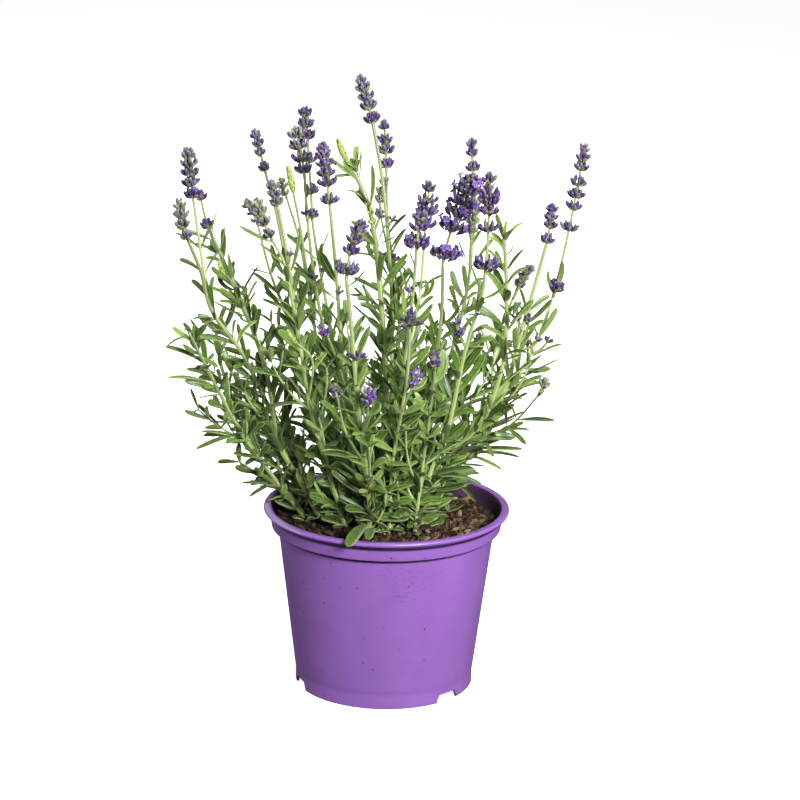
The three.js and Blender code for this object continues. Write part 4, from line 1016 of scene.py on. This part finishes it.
             (54, -44, 258), (55, -46, 269)], spike=28, tip=(56, -46, 329), bend=(57, -46, 293),
             whorls=[(0.09, 7.8), (0.46, 6.4), (0.62, 6.2), (0.72, 7), (0.81, 6), (0.92, 4.4)],
             hand=[(0.17, 29, -11, 114, 0, 2.4), (0.2, 47, -19, 132, -2, 3.6),
             (0.24, 49, -19, 136, 4, 4.2), (0.3, 36, -21, 150, -1, 1.8), (0.34, 46, -22, 167, -2, 3.6),
             (0.35, 30, -27, 171, 0, 4.8), (0.39, 47, -25, 173, -2, 4.2), (0.47, 53, -30, 180, 6, 3),
             (0.48, 25, -29, 196, -1, 3.9), (0.53, 32, -21, 203, 1, 3), (0.56, 57, -29, 216, -1, 3.6),
             (0.62, 56, -32, 224, 0, 3.6), (0.63, 29, -38, 216, -3, 2.1), (0.64, 37, -36, 221, 0, 3.6),
             (0.68, 57, -30, 227, 4, 4.2), (0.91, 68, -49, 265, -4, 2.4), (0.92, 45, -54, 255, -6, 2.4),
             (0.93, 47, -47, 273, 1, 2.4)])],
        heads=[dict(foot=(0, 0.73), bend=(41, -37, 229), tip=(39, -38, 240), whorls=[(0.5, 3.4),
               (0.85, 2.9)])]),
    dict(leaves=(10, 0.16, 0.78, 29), stems=[
        dict(side=3.2, route=[(24, 14, 90), (36, 18, 128), (54, 21, 144), (71, 25, 179), (82, 29, 221),
             (94, 34, 268)], spike=29, tip=(97, 34, 295), whorls=[(0.18, 5), (0.5, 4.4), (0.68, 4.4),
             (0.86, 3.8)], hand=[(0.2, 55, 17, 109, 2, 2.7), (0.21, 57, 24, 126, -1, 2.4),
             (0.22, 58, 15, 122, -1, 1.3), (0.23, 44, 24, 147, 1, 3), (0.24, 50, 10, 145, -1, 2.4),
             (0.26, 56, 10, 145, -5, 4.8), (0.32, 76, 22, 152, 0, 3), (0.32, 83, 20, 143, 1, 3.3),
             (0.38, 84, 21, 167, 2, 2.4), (0.39, 78, 20, 163, -1, 2.1), (0.42, 77, 17, 172, 1, 5.1),
             (0.46, 59, 21, 183, 0, 3), (0.47, 77, 14, 177, 3, 2.7), (0.48, 70, 17, 189, 3, 3.6),
             (0.49, 80, 20, 178, 1, 1), (0.5, 82, 15, 183, 2, 1.1), (0.56, 71, 29, 205, 0, 2.1),
             (0.58, 54, 30, 176, -3, 1.5), (0.63, 67, 30, 213, -1, 2.1), (0.74, 66, 32, 232, 0, 1.2),
             (0.74, 98, 24, 237, -2, 3), (0.83, 79, 21, 229, 0, 1.5)]),
        dict(side=2.6, route=[(68, 24, 173), (86, 46, 194), (98, 63, 219), (102, 70, 231)], spike=30,
             tip=(119, 82, 323), bend=(109, 76, 256), whorls=[(0.06, 5.2), (0.44, 6.4), (0.58, 5.6),
             (0.66, 5.8), (0.74, 5.4), (0.84, 5), (0.9, 4.4), (0.96, 3.2)],
             hand=[(0.13, 86, 36, 180, 4, 0.7), (0.16, 106, 34, 198, 1, 2.2),
             (0.33, 98, 38, 189, -1, 0.9), (0.98, 97, 63, 246, 2, 3), (0.99, 106, 63, 252, -3, 3)]),
        dict(side=1.5, route=[(55, 21, 146), (75, -13, 169), (89, -40, 195)], spike=31,
             tip=(93, -40, 206), whorls=[(0.28, 2.2), (0.61, 3.8)], hand=[(0.16, 73, 3, 163, -2, 1.8)])],
        heads=[dict(foot=(0, 0.68), bend=(80, 26, 214), tip=(77, 25, 229), whorls=[(0.8, 2.6)]),
               dict(foot=(0, 0.68), bend=(84, 26, 215), tip=(86, 25, 229), whorls=[(0.8, 3)]),
               dict(foot=(0, 0.69), bend=(78, 26, 214), tip=(77, 25, 220), whorls=[(0.6, 2.9)]),
               dict(foot=(1, 0.49), bend=(88, 47, 200), tip=(87, 46, 207), whorls=[(0.7, 1.7)], ripe=0.8),
               dict(foot=(0, 0.66), bend=(89, 26, 205), tip=(92, 24, 215), whorls=[(0.85, 2.9)]),
               dict(foot=(1, 0.47), bend=(96, 46, 199), tip=(99, 45, 209), whorls=[(0.85, 3)]),
               dict(foot=(1, 0.09), bend=(74, 27, 179), tip=(76, 26, 184), whorls=[(0.7, 1.9)]),
               dict(foot=(1, 0.95), bend=(104, 67, 232), tip=(104, 65, 241), whorls=[(0.5, 4.6)])]),
    dict(leaves=(10, 0.15, 0.97, 27), stems=[
        dict(side=2.6, route=[(26, -2, 90), (35, 0, 138), (57, -6, 169), (68, -11, 204), (69, -17, 246),
             (66, -24, 289)], hand=[(0.09, 48, -3, 115, -4, 2.4), (0.1, 36, 6, 113, 1, 1.5),
             (0.15, 38, -6, 111, 1, 1.5), (0.15, 46, -9, 120, -5, 2.1), (0.37, 51, -8, 174, -1, 3),
             (0.44, 59, -13, 183, 5, 1.2), (0.55, 58, -18, 210, 0, 2.1), (0.62, 82, -20, 215, 5, 1.5),
             (0.67, 54, -19, 231, -3, 0.9), (0.7, 53, -18, 239, -4, 2.7), (0.77, 56, -18, 264, -5, 3),
             (0.83, 80, -25, 268, 5, 1.8), (0.93, 57, -30, 287, -4, 2.7), (0.93, 71, -27, 282, -3, 1.8),
             (0.95, 59, -15, 286, -2, 1.2), (0.96, 67, -28, 297, 1, 2.7), (0.96, 78, -16, 293, 5, 1.3)])],
        heads=[dict(foot=(0, 0.56), bend=(69, -12, 201), tip=(71, -13, 207), whorls=[(0.7, 2)]),
               dict(foot=(0, 0.84), bend=(67, -20, 262), tip=(67, -21, 274), whorls=[(0.45, 3),
               (0.8, 2.5)], ripe=0.5), dict(foot=(0, 0.82), bend=(65, -19, 258), tip=(63, -21, 266),
               whorls=[(0.75, 1.9)], ripe=0.2), dict(foot=(0, 0.75), bend=(73, -17, 247),
               tip=(76, -19, 259), whorls=[(0.8, 3.3)], ripe=0.85)]),
    dict(leaves=(7, 0.15, 0.85, 27), stems=[
        dict(side=2, route=[(16, 38, 90), (32, 44, 141), (49, 49, 172), (68, 56, 209), (78, 60, 234)],
             spike=32, tip=(88, 60, 250), whorls=[(0.24, 3.6), (0.52, 3.8), (0.8, 3.4)],
             hand=[(0.2, 10, 36, 139, 0, 3.6), (0.47, 50, 41, 178, 1, 4.8),
             (0.52, 57, 52, 175, -5, 2.4)])],
        heads=[dict(foot=(0, 0.71), bend=(55, 51, 202), tip=(55, 50, 212), whorls=[(0.6, 3.6)],
               ripe=0.95), dict(foot=(0, 0.64), bend=(52, 50, 193), tip=(52, 48, 204),
               whorls=[(0.35, 2.4), (0.8, 2.4)], ripe=0.7), dict(foot=(0, 0.96), bend=(82, 58, 241),
               tip=(85, 56, 251), whorls=[(0.55, 3), (0.8, 3.2)], ripe=0.75)]),
    dict(leaves=(6, 0.16, 0.8, 25), stems=[
        dict(side=1.8, route=[(2, -30, 90), (3, -36, 145), (8, -61, 187), (14, -74, 208)], spike=33,
             tip=(17, -74, 218), whorls=[(0.33, 3.6), (0.67, 3.8)], hand=[(0.43, 7, -40, 151, 0, 1.2),
             (0.81, 23, -57, 195, -2, 3), (0.98, 22, -67, 212, -3, 3)]),
        dict(side=2, route=[(4, -41, 156), (11, -52, 208), (12, -62, 240)], spike=34, tip=(12, -64, 252),
             whorls=[(0.38, 6.6), (0.71, 3.4)], hand=[(0.11, 20, -39, 174, 1, 2.4),
             (0.21, 23, -50, 192, -4, 4.2), (0.34, 3, -42, 198, 1, 1.8), (0.81, 18, -51, 239, -1, 2.4),
             (0.81, 21, -61, 239, -4, 3)])]),
    dict(leaves=(6, 0.16, 0.85, 26), stems=[
        dict(side=1.8, route=[(16, -30, 90), (22, -34, 153), (25, -48, 186), (27, -64, 216)], spike=35,
             tip=(26, -65, 227), whorls=[(0.37, 3.6), (0.68, 3.6)], hand=[(0.17, 13, -37, 110, -1, 3),
             (0.17, 26, -35, 112, 2, 3), (0.28, 26, -35, 131, 0, 1.8), (0.9, 23, -64, 220, 0, 3.6),
             (0.91, 31, -54, 225, -6, 5.4)])]),
]

print("stems and leaves")
leafFinishes = [feltedLeaf("feltedLavenderLeaf"), squareStem("squareGreenStem")]
stemRoutes = []
for number, shoot in enumerate(shoots):
    routes = [smoothRoute(stem["route"]) for stem in shoot["stems"]]
    stemRoutes.append(routes)
    large, small, branches = leavesOf(shoot, number, routes)
    pairs, first, last, _ = shoot["leaves"]
    nodes = [first + (last - first) * pair / (pairs - 1) for pair in range(pairs)]
    parts = []
    for at, (route, stem) in enumerate(zip(routes, shoot["stems"])):
        tone = 0.35 + 0.3 * scatter(number, at, 9)
        parts.append(stemPart(route, stem["side"], [] if at else nodes, tone, skin=1))
    parts += [stemPart(route, stemShape["branch"], [], 0.5, skin=1) for route in branches]
    parts += [bladePart(large, False), bladePart(small, True)]
    buildPiece(f"leafyShoot{number + 1:02d}", parts, leafFinishes, f"shoot_{number + 1:02d}")


# Flower spikes. Every whorl is a ring of ribbed calyces that fan up and out from a pair of broad
# bracts, on a thin rachis. An inner tier has its share of the whorl's radius, its lean in degrees,
# its rise, how crowded it is, and the radius above which a whorl has it. A lobe of a corolla has
# its angle, length, width and lift.
spikeShape = {
    "calyxSection": [(math.cos(k * math.pi / 4), math.sin(k * math.pi / 4)) for k in range(8)],
    "calyxProfile": [(0, 0.36), (0.16, 0.58), (0.45, 0.9), (0.68, 1.0), (0.87, 0.87), (1.0, 0.53)],
    "calyxRadius": 1.06, "calyxLength": 5.8, "calyxShortest": 2.0, "calyxSpacing": 3.0,
    "calyxCount": (4, 10), "leanSpread": 0.16, "rib": 0.12, "rachis": 0.9, "rachisStep": 2.5,
    "reach": 1.12, "outerCrowd": 0.62, "innerTiers": [(0.55, 20, 0.9, 0.5, 3.6), (0.95, 38, 2.2, 0.6, 7.5)],
    "bracts": 6, "bractReach": 0.8, "bractLongest": 4.6, "scaleSize": 0.72, "crownBuds": 5,
    "budRadius": 0.75, "earTiers": 8, "earStep": 0.105, "earScales": 4, "tubeRadius": 0.8,
    "tubeLength": 2.4,
    "lobes": [(-26, 2.9, 2.2, 0.7), (26, 2.9, 2.2, 0.7), (108, 2.2, 1.7, -0.1), (180, 2.5, 2.0, -0.25),
              (252, 2.2, 1.7, -0.1)],
}
calyxForm = loftForm(6, 8)

# How each spike differs. ripe runs from 0, green bud, to 1, full violet, and fade takes some of it
# off towards the tip. open is the share of calyces with a corolla, and ear an unopened head.
plainSpike = dict(ripe=1.0, fade=0.1, open=0.0, pale=0.0, splay=49, dense=1.0, ear=False, crown=True)
spikeStyles = {
    1: dict(ripe=0.9, fade=0.3), 2: dict(fade=0.3), 4: dict(ear=True), 5: dict(ripe=0.8),
    6: dict(ripe=0.85, fade=0.3), 7: dict(ear=True), 9: dict(ripe=0.8), 10: dict(ear=True),
    11: dict(ripe=0.55), 12: dict(fade=0.25), 18: dict(pale=0.9), 19: dict(ear=True), 20: dict(fade=0.2),
    22: dict(ripe=0.75), 25: dict(open=0.22), 26: dict(ripe=0.6), 31: dict(ripe=0.65), 32: dict(ripe=0.8),
    33: dict(pale=1.1), 34: dict(splay=66, dense=0.8, crown=False, pale=-0.45),
    35: dict(dense=0.7, pale=-0.3),
}


def calyxPart(calyces, skin=0):
    spike = spikeShape
    profile, section = np.array(spike["calyxProfile"]), np.array(spike["calyxSection"])
    take = lambda key: np.array([calyx[key] for calyx in calyces])[:, None]
    foot, way = take("foot"), take("way")
    length, radius = take("length")[..., None], take("radius")[..., None]
    across = unit(np.cross(way, take("look")))
    face = np.cross(across, way)
    u = profile[:, 0][None, :, None]
    centre = foot + way * u * length + face * 0.12 * length * u ** 2
    ribs = np.where(np.arange(len(section)) % 2, 1 - spike["rib"], 1 + spike["rib"])
    size = radius[..., None] * profile[:, 1][None, :, None, None] * ribs[None, None, :, None]
    s, t = section[:, 0][None, None, :, None], section[:, 1][None, None, :, None]
    points = centre[:, :, None] + (across[:, :, None] * s + face[:, :, None] * t) * size
    copies, rings, around = points.shape[:3]
    tip = foot + way * 1.05 * length + face * 0.14 * length
    points = np.concatenate([points.reshape(copies, -1, 3), foot - way * 0.2, tip], 1)
    return newPart(calyxForm, points, np.stack([length[:, 0, 0], radius[:, 0, 0] * 6], -1), skin,
                   along=np.append(np.repeat(profile[:, 0], around), (0, 1.1)),
                   side=np.append(np.tile(np.arange(around) % 2, rings), (0, 0)),
                   tone=take("tone"), ripe=take("ripe"))


def whorl(rng, flowers, at, along, radius, style, turn):
    # an open cup: a ring of calyces splayed from the rachis, a few steeper ones inside it, and
    # below them the pair of broad bracts with narrower scales between
    spike = spikeShape
    radius = radius * spike["reach"]
    outerTier = (1.0, style["splay"], 0.0, spike["outerCrowd"], 0.0)
    for share, lean, rise, crowd, least in [outerTier] + spike["innerTiers"]:
        if radius <= least:
            continue
        reach = radius * share
        room = style["dense"] * 2 * math.pi * reach * crowd
        count = int(np.clip(round(room / spike["calyxSpacing"]), *spike["calyxCount"]))
        for k in range(count):
            way = turn + share * 3 + (k + rng.uniform(-0.3, 0.3)) * 2 * math.pi / count
            outward = sideways(along, way)
            tilt = math.radians(lean) + rng.normal(0, spike["leanSpread"])
            length = min(spike["calyxLength"], (reach - 0.5) / math.sin(tilt)) * rng.uniform(0.8, 1.08)
            length = max(length, spike["calyxShortest"])
            start = max(0.5, (reach - length * math.sin(tilt)) * 0.8)
            foot = at + outward * start + along * (rise + rng.uniform(-0.3, 0.3) - 0.42 * length)
            direction = outward * math.sin(tilt) + along * math.cos(tilt)
            girth = spike["calyxRadius"] * min(1.0, 0.35 + length / 6.5) * rng.uniform(0.84, 1.08)
            flowers["calyces"].append({
                "foot": foot, "way": direction, "look": along, "length": length, "radius": girth,
                "tone": rng.uniform() + style["pale"],
                "ripe": np.clip(style["ripe"] + rng.normal(0, 0.1), 0, 1)})
            if rng.uniform() < style["open"]:
                mouth = foot + direction * length * 1.02 + along * 0.1 * length
                flowers["corollas"].append((mouth, direction, along, rng.uniform()))
    for k in range(spike["bracts"]):
        outward = sideways(along, turn + k * math.pi / 3)
        broad = k % 3 == 0
        size = min(radius * spike["bractReach"], spike["bractLongest"])
        size *= 1 if broad else spike["scaleSize"]
        foot = at - along * (0.34 * min(radius, 5.4) + 0.3) + outward * 0.4
        route = [foot, foot + outward * size * 0.6 - along * 0.1 * size,
                 foot + outward * size * 0.92 + along * size * 0.6]
        flowers["bracts"].append({"route": route, "look": along - outward, "cup": 0.4,
                                  "width": size * (0.9 if broad else 0.5), "tone": rng.uniform(0.4, 1)})


def greenEar(rng, flowers, route):
    # an unopened head: close tiers of pointed bracts that hug the axis and overlap like scales
    length = routeLength(route)
    for tier in range(spikeShape["earTiers"]):
        at, along = placeOn(route, tier * spikeShape["earStep"])
        reach = length * (0.27 + 0.02 * min(tier, 4))
        swell = 0.62 - 0.045 * abs(tier - 2)
        for k in range(spikeShape["earScales"]):
            outward = sideways(along, tier * 0.8 + k * math.pi / 2)
            foot = at + outward * 0.4
            scale = [foot, foot + along * reach * 0.4 + outward * reach * swell,
                     foot + along * reach + outward * reach * (swell - 0.35)]
            flowers["bracts"].append({"route": scale, "look": outward - along * 0.3, "width": reach * 0.62,
                                      "tone": rng.uniform(0.9, 1.6), "cup": -0.5})


def whorlsOn(rng, flowers, route, rows, style):
    # the whorls of one head, each turned an eighth from the one below and less ripe towards the tip
    for k, (share, radius) in enumerate(rows):
        at, along = placeOn(route, share)
        here = dict(style, ripe=style["ripe"] - share * style["fade"])
        whorl(rng, flowers, at, along, radius, here, k * math.pi / 4 + rng.uniform(0, 0.6))


def sideHead(rng, flowers, routes, head):
    # a small head on its own thin stalk, which leaves a stem of the shoot below the spike
    stem, share = head["foot"]
    at, _ = placeOn(routes[stem], share)
    route = bentRoute(at, np.array(head["bend"], float), np.array(head["tip"], float), 12)
    flowers["stalks"].append(route)
    whorlsOn(rng, flowers, route, head["whorls"], dict(plainSpike, ripe=head.get("ripe", 1.0), fade=0.0))


def crownOf(rng, flowers, route, style):
    # the last few small buds, packed on the tip
    at, along = placeOn(route, 0.995)
    count = spikeShape["crownBuds"]
    for k in range(count):
        outward = sideways(along, k * 2 * math.pi / count)
        flowers["calyces"].append({
            "foot": at - along * 3.1, "way": unit(along + outward * 0.42), "look": outward,
            "length": rng.uniform(2.3, 3), "radius": spikeShape["budRadius"], "tone": rng.uniform(0.3, 1.1),
            "ripe": np.clip(style["ripe"] - style["fade"], 0, 1)})


def corollaParts(corollas, skin):
    # a short tube and five rounded lobes, two upright and three spread, cupped a little
    lobes, tubes = [], []
    for foot, way, look, tone in corollas:
        across = unit(np.cross(way, look))
        face = np.cross(across, way)
        mouth = foot + way * 1.8
        tubes.append({"foot": foot - way * 0.6, "way": way, "look": look, "tone": tone, "ripe": 1.0,
                      "length": spikeShape["tubeLength"], "radius": spikeShape["tubeRadius"]})
        for angle, length, width, lift in spikeShape["lobes"]:
            turn = math.radians(angle)
            outward = face * math.cos(turn) + across * math.sin(turn)
            route = [mouth - way * 0.3, mouth + outward * length * 0.45 + way * 0.5,
                     mouth + outward * length + way * (0.4 + lift)]
            lobes.append({"route": route, "look": way - outward * 0.2, "width": width, "tone": tone,
                          "cup": 0.2})
    return [bladePart(lobes, True, skin), calyxPart(tubes, skin)]


def rachisPart(route, skin):
    shares = np.linspace(0, 1, max(5, int(routeLength(route) / spikeShape["rachisStep"])))
    at, _ = placeOn(route, shares)
    sides, ups = sidesAlong(at)
    girth = spikeShape["rachis"] * (1.15 - 0.6 * shares)[:, None, None]
    turn = np.linspace(0, 2 * np.pi, 8, endpoint=False)[None, :, None]
    rings = at[:, None] + (sides[:, None] * np.cos(turn) + ups[:, None] * np.sin(turn)) * girth
    points = np.concatenate([rings.reshape(-1, 3), at[:1], at[-1:]])[None]
    return newPart(loftForm(len(shares), 8), points, (routeLength(route), 5), skin, tone=0.6,
                   along=np.append(np.repeat(shares, 8), (0, 1)))


# Lavender calyx: a ribbed felted barrel, grey-green where it joins and deep violet above, with
# pale hairs along the ribs. Buds are the same barrel in yellow-green.
def feltedCalyx(name):
    look = {"foot": "#bcc79c", "lilac": "#7c5d96", "violet": "#482170", "deep": "#2e134b",
            "mouth": "#674096", "hair": "#b3a4c4", "budFoot": "#86a048", "bud": "#a4ba5c",
            "fleckPerMm": 0.9}
    finish, tree, shader, along, side, tone, ripe = newFinish(name, "along", "side", "tone", "ripe")
    place = addNode(tree, "TexCoord").outputs["Object"]
    fleck = addNode(tree, "TexNoise", {"Vector": place, "Scale": look["fleckPerMm"] / mm, "Detail": 2.0})
    shift = addNode(tree, "MapRange", {"Value": fleck, 1: 0.25, 2: 0.75, 3: -0.4, 4: 0.34})
    height = addNode(tree, "Math", {0: along, 1: shift}, operation="ADD")
    violet = addNode(tree, "ValToRGB", {"Fac": height},
                     stops=[(0.1, look["foot"]), (0.23, look["lilac"]), (0.38, look["violet"]),
                            (0.82, look["deep"]), (1.0, look["mouth"])])
    green = addNode(tree, "ValToRGB", {"Fac": height}, stops=[(0.1, look["budFoot"]), (0.8, look["bud"])])
    kind = addNode(tree, "Mix", {0: ripe, 6: green, 7: violet}, data_type="RGBA")
    ribs = addNode(tree, "MapRange", {"Value": side, 3: 0.0, 4: 0.07})
    haired = addNode(tree, "Mix", {0: ribs, 6: kind, 7: look["hair"]}, data_type="RGBA")
    light = addNode(tree, "MapRange", {"Value": tone, 3: 0.66, 4: 1.4}, clamp=False)
    coat = addNode(tree, "VectorMath", {0: haired, "Scale": light}, operation="SCALE")
    bump = addNode(tree, "Bump", {"Strength": 0.3, "Distance": 0.0002, "Height": fleck})
    plugIn(tree, shader, {"Base Color": coat, "Normal": bump, "Roughness": 0.55, "Sheen Weight": 0.06})
    return finish


# Bract and rachis: the papery green scale under a whorl, browner towards its tip.
def paperyBract(name):
    look = {"foot": "#a3b378", "scale": "#82954f", "tip": "#857f52", "young": "#93a853",
            "veinPerMm": 0.8}
    finish, tree, shader, along, tone = newFinish(name, "along", "tone")
    place = addNode(tree, "TexCoord").outputs["Object"]
    vein = addNode(tree, "TexNoise", {"Vector": place, "Scale": look["veinPerMm"] / mm, "Detail": 2.0})
    green = addNode(tree, "ValToRGB", {"Fac": along},
                    stops=[(0.0, look["foot"]), (0.6, look["scale"]), (1.0, look["tip"])])
    light = addNode(tree, "Math", {0: vein, 1: tone}, operation="ADD")
    level = addNode(tree, "MapRange", {"Value": light, 1: 0.4, 2: 2.3, 3: 0.75, 4: 1.2})
    fresh = addNode(tree, "MapRange", {"Value": tone, 1: 1.0, 2: 1.2})
    mixed = addNode(tree, "Mix", {0: fresh, 6: green, 7: look["young"]}, data_type="RGBA")
    coat = addNode(tree, "VectorMath", {0: mixed, "Scale": level}, operation="SCALE")
    plugIn(tree, shader, {"Base Color": coat, "Roughness": 0.62})
    return finish


# Corolla: thin soft petals, brighter violet than the calyx and paler at the lobes' edges.
def softPetal(name):
    look = {"throat": "#4d2b83", "petal": "#7049a2", "edge": "#9477bd"}
    finish, tree, shader, along, tone = newFinish(name, "along", "tone")
    petal = addNode(tree, "ValToRGB", {"Fac": along},
                    stops=[(0.0, look["throat"]), (0.45, look["petal"]), (1.0, look["edge"])])
    level = addNode(tree, "MapRange", {"Value": tone, 3: 0.8, 4: 1.25})
    coat = addNode(tree, "VectorMath", {0: petal, "Scale": level}, operation="SCALE")
    plugIn(tree, shader, {"Base Color": coat, "Roughness": 0.55, "Sheen Weight": 0.2})
    return finish


print("flower spikes")
spikeFinishes = [feltedCalyx("feltedVioletCalyx"), paperyBract("paperyGreenBract"),
                 softPetal("softVioletPetal")]
for shoot, routes in zip(shoots, stemRoutes):
    heads = shoot.get("heads", ())  # built with the shoot's first spike
    for stem, stalk in zip(shoot["stems"], routes):
        if "spike" not in stem:
            continue
        number = stem["spike"]
        rng = np.random.default_rng(500 + number)
        style = {**plainSpike, **spikeStyles.get(number, {})}
        end, ahead = stalk[-1], unit(stalk[-1] - stalk[-2])
        tip = np.array(stem["tip"], float)
        bend = np.array(stem.get("bend", end + ahead * np.linalg.norm(tip - end) * 0.4), float)
        route = bentRoute(end - ahead * 1.0, bend, tip)
        flowers = {"calyces": [], "bracts": [], "corollas": [], "stalks": [route]}
        for head in heads:
            sideHead(rng, flowers, routes, head)
        heads = ()
        if style["ear"]:
            greenEar(rng, flowers, route)
        else:
            whorlsOn(rng, flowers, route, stem["whorls"], style)
            if style["crown"]:
                crownOf(rng, flowers, route, style)
        parts = [bladePart(flowers["bracts"], True, 1)]
        parts += [rachisPart(stalk, 1) for stalk in flowers["stalks"]]
        if flowers["calyces"]:
            parts.append(calyxPart(flowers["calyces"]))
        if flowers["corollas"]:
            parts += corollaParts(flowers["corollas"], 2)
        buildPiece(f"flowerSpike{number:02d}", parts, spikeFinishes, f"flower_spike_{number:02d}")


# Studio: a shooting table of white acrylic, lit from below, inside a round backlit paper backdrop.
# A wide low softbox stands at the front right, smaller ones at both sides and one behind fill the
# edges, and a larger one hangs over the plant. Places and sizes are in metres.
studio = {
    "sky": "#f4f6fa", "skyLevel": 0.09, "cloud": "#f8f7f5", "floor": "#fdfcfb", "tableGlow": 0.9,
    "paperGlow": 1.0, "paperRadius": 8.9, "paperHeight": 6, "tableHalf": 9,
    "lights": {
        "keySoftbox": dict(at=(0.6, -1.25, 0.82), aim=(0, 0, 0.24), size=(0.7, 0.34), power=6.2, spread=64),
        "leftSoftbox": dict(at=(-1.5, 0.0, 0.4), aim=(0, 0, 0.1), size=(0.5, 0.5), power=9.5),
        "rightSoftbox": dict(at=(1.4, 0.1, 0.35), aim=(0, 0, 0.1), size=(0.5, 0.5), power=4.6, gloss=False),
        "backSoftbox": dict(at=(0.2, 1.6, 0.6), aim=(0, 0, 0.2), size=(0.9, 0.6), power=15, gloss=False),
        "topSoftbox": dict(at=(0.1, 0.25, 1.8), aim=(0, 0, 0.15), size=(0.8, 0.8), power=15.5),
    },
}


def backlit(name, glow):
    # diffusing acrylic or paper: an almost even white with very faint clouds
    finish, tree, shader = newFinish(name)
    place = addNode(tree, "TexCoord").outputs["Object"]
    cloud = addNode(tree, "TexNoise", {"Vector": place, "Scale": 0.6})
    tint = addNode(tree, "ValToRGB", {"Fac": cloud}, stops=[(0.3, studio["cloud"]), (0.7, studio["floor"])])
    plugIn(tree, shader, {"Base Color": tint, "Emission Color": tint, "Emission Strength": glow,
                          "Roughness": 0.9})
    return finish


def stagePiece(name, points, faces, finish):
    mesh = bpy.data.meshes.new(name)
    mesh.from_pydata(points, [], faces)
    mesh.materials.append(finish)
    piece = bpy.data.objects.new(name, mesh)
    bpy.context.scene.collection.objects.link(piece)
    piece.visible_diffuse = piece.visible_glossy = False  # the table and paper put no light on the plant
    return piece


print("studio")
scene = bpy.context.scene
reach, sides = studio["tableHalf"], 64
stagePiece("paleFloor", [(-reach, -reach, 0), (reach, -reach, 0), (reach, reach, 0), (-reach, reach, 0)],
           [(0, 1, 2, 3)], backlit("opalAcrylic", studio["tableGlow"]))
ring = [(studio["paperRadius"] * math.cos(a), studio["paperRadius"] * math.sin(a))
        for a in np.linspace(0, 2 * math.pi, sides, endpoint=False)]
paper = stagePiece("paleBackdrop", [(x, y, z) for z in (0, studio["paperHeight"]) for x, y in ring],
                   [(k, (k + 1) % sides, sides + (k + 1) % sides, sides + k) for k in range(sides)],
                   backlit("whiteBackdropPaper", studio["paperGlow"]))
paper.visible_shadow = False

sky = bpy.data.worlds.new("studioSky")
sky.use_nodes = True
plugIn(sky.node_tree, sky.node_tree.nodes["Background"],
       {"Color": studio["sky"], "Strength": studio["skyLevel"]})
scene.world = sky
for name, box in studio["lights"].items():
    lamp = bpy.data.objects.new(name, bpy.data.lights.new(name, "AREA"))
    lamp.data.shape = "RECTANGLE"
    lamp.data.size, lamp.data.size_y = box["size"]
    lamp.data.energy = box["power"]
    lamp.data.spread = math.radians(box.get("spread", 180))
    lamp.visible_glossy = box.get("gloss", True)
    lamp.location = box["at"]
    lamp.rotation_euler = (Vector(box["at"]) - Vector(box["aim"])).to_track_quat("Z", "Y").to_euler()
    scene.collection.objects.link(lamp)
scene.view_settings.view_transform = "Standard"

# Camera: a long lens, a little above the plant and looking slightly down on the soil. Its place
# and aim are in mm, its roll in degrees.
view = {"from": (7.067, -1587.6, 628.15), "aim": (7.067, 0, 178.656), "roll": 1.053, "lens": 122.9,
        "sensor": 36, "farthest": 60}
lens = bpy.data.cameras.new("camera")
lens.lens, lens.sensor_width, lens.clip_end = view["lens"], view["sensor"], view["farthest"]
camera = bpy.data.objects.new("camera", lens)
eye, aim = Vector(view["from"]) * mm, Vector(view["aim"]) * mm
turn = (aim - eye).to_track_quat("-Z", "Y").to_matrix().to_4x4()
camera.matrix_world = Matrix.Translation(eye) @ turn @ Matrix.Rotation(math.radians(view["roll"]), 4, "Z")
scene.collection.objects.link(camera)
scene.camera = camera
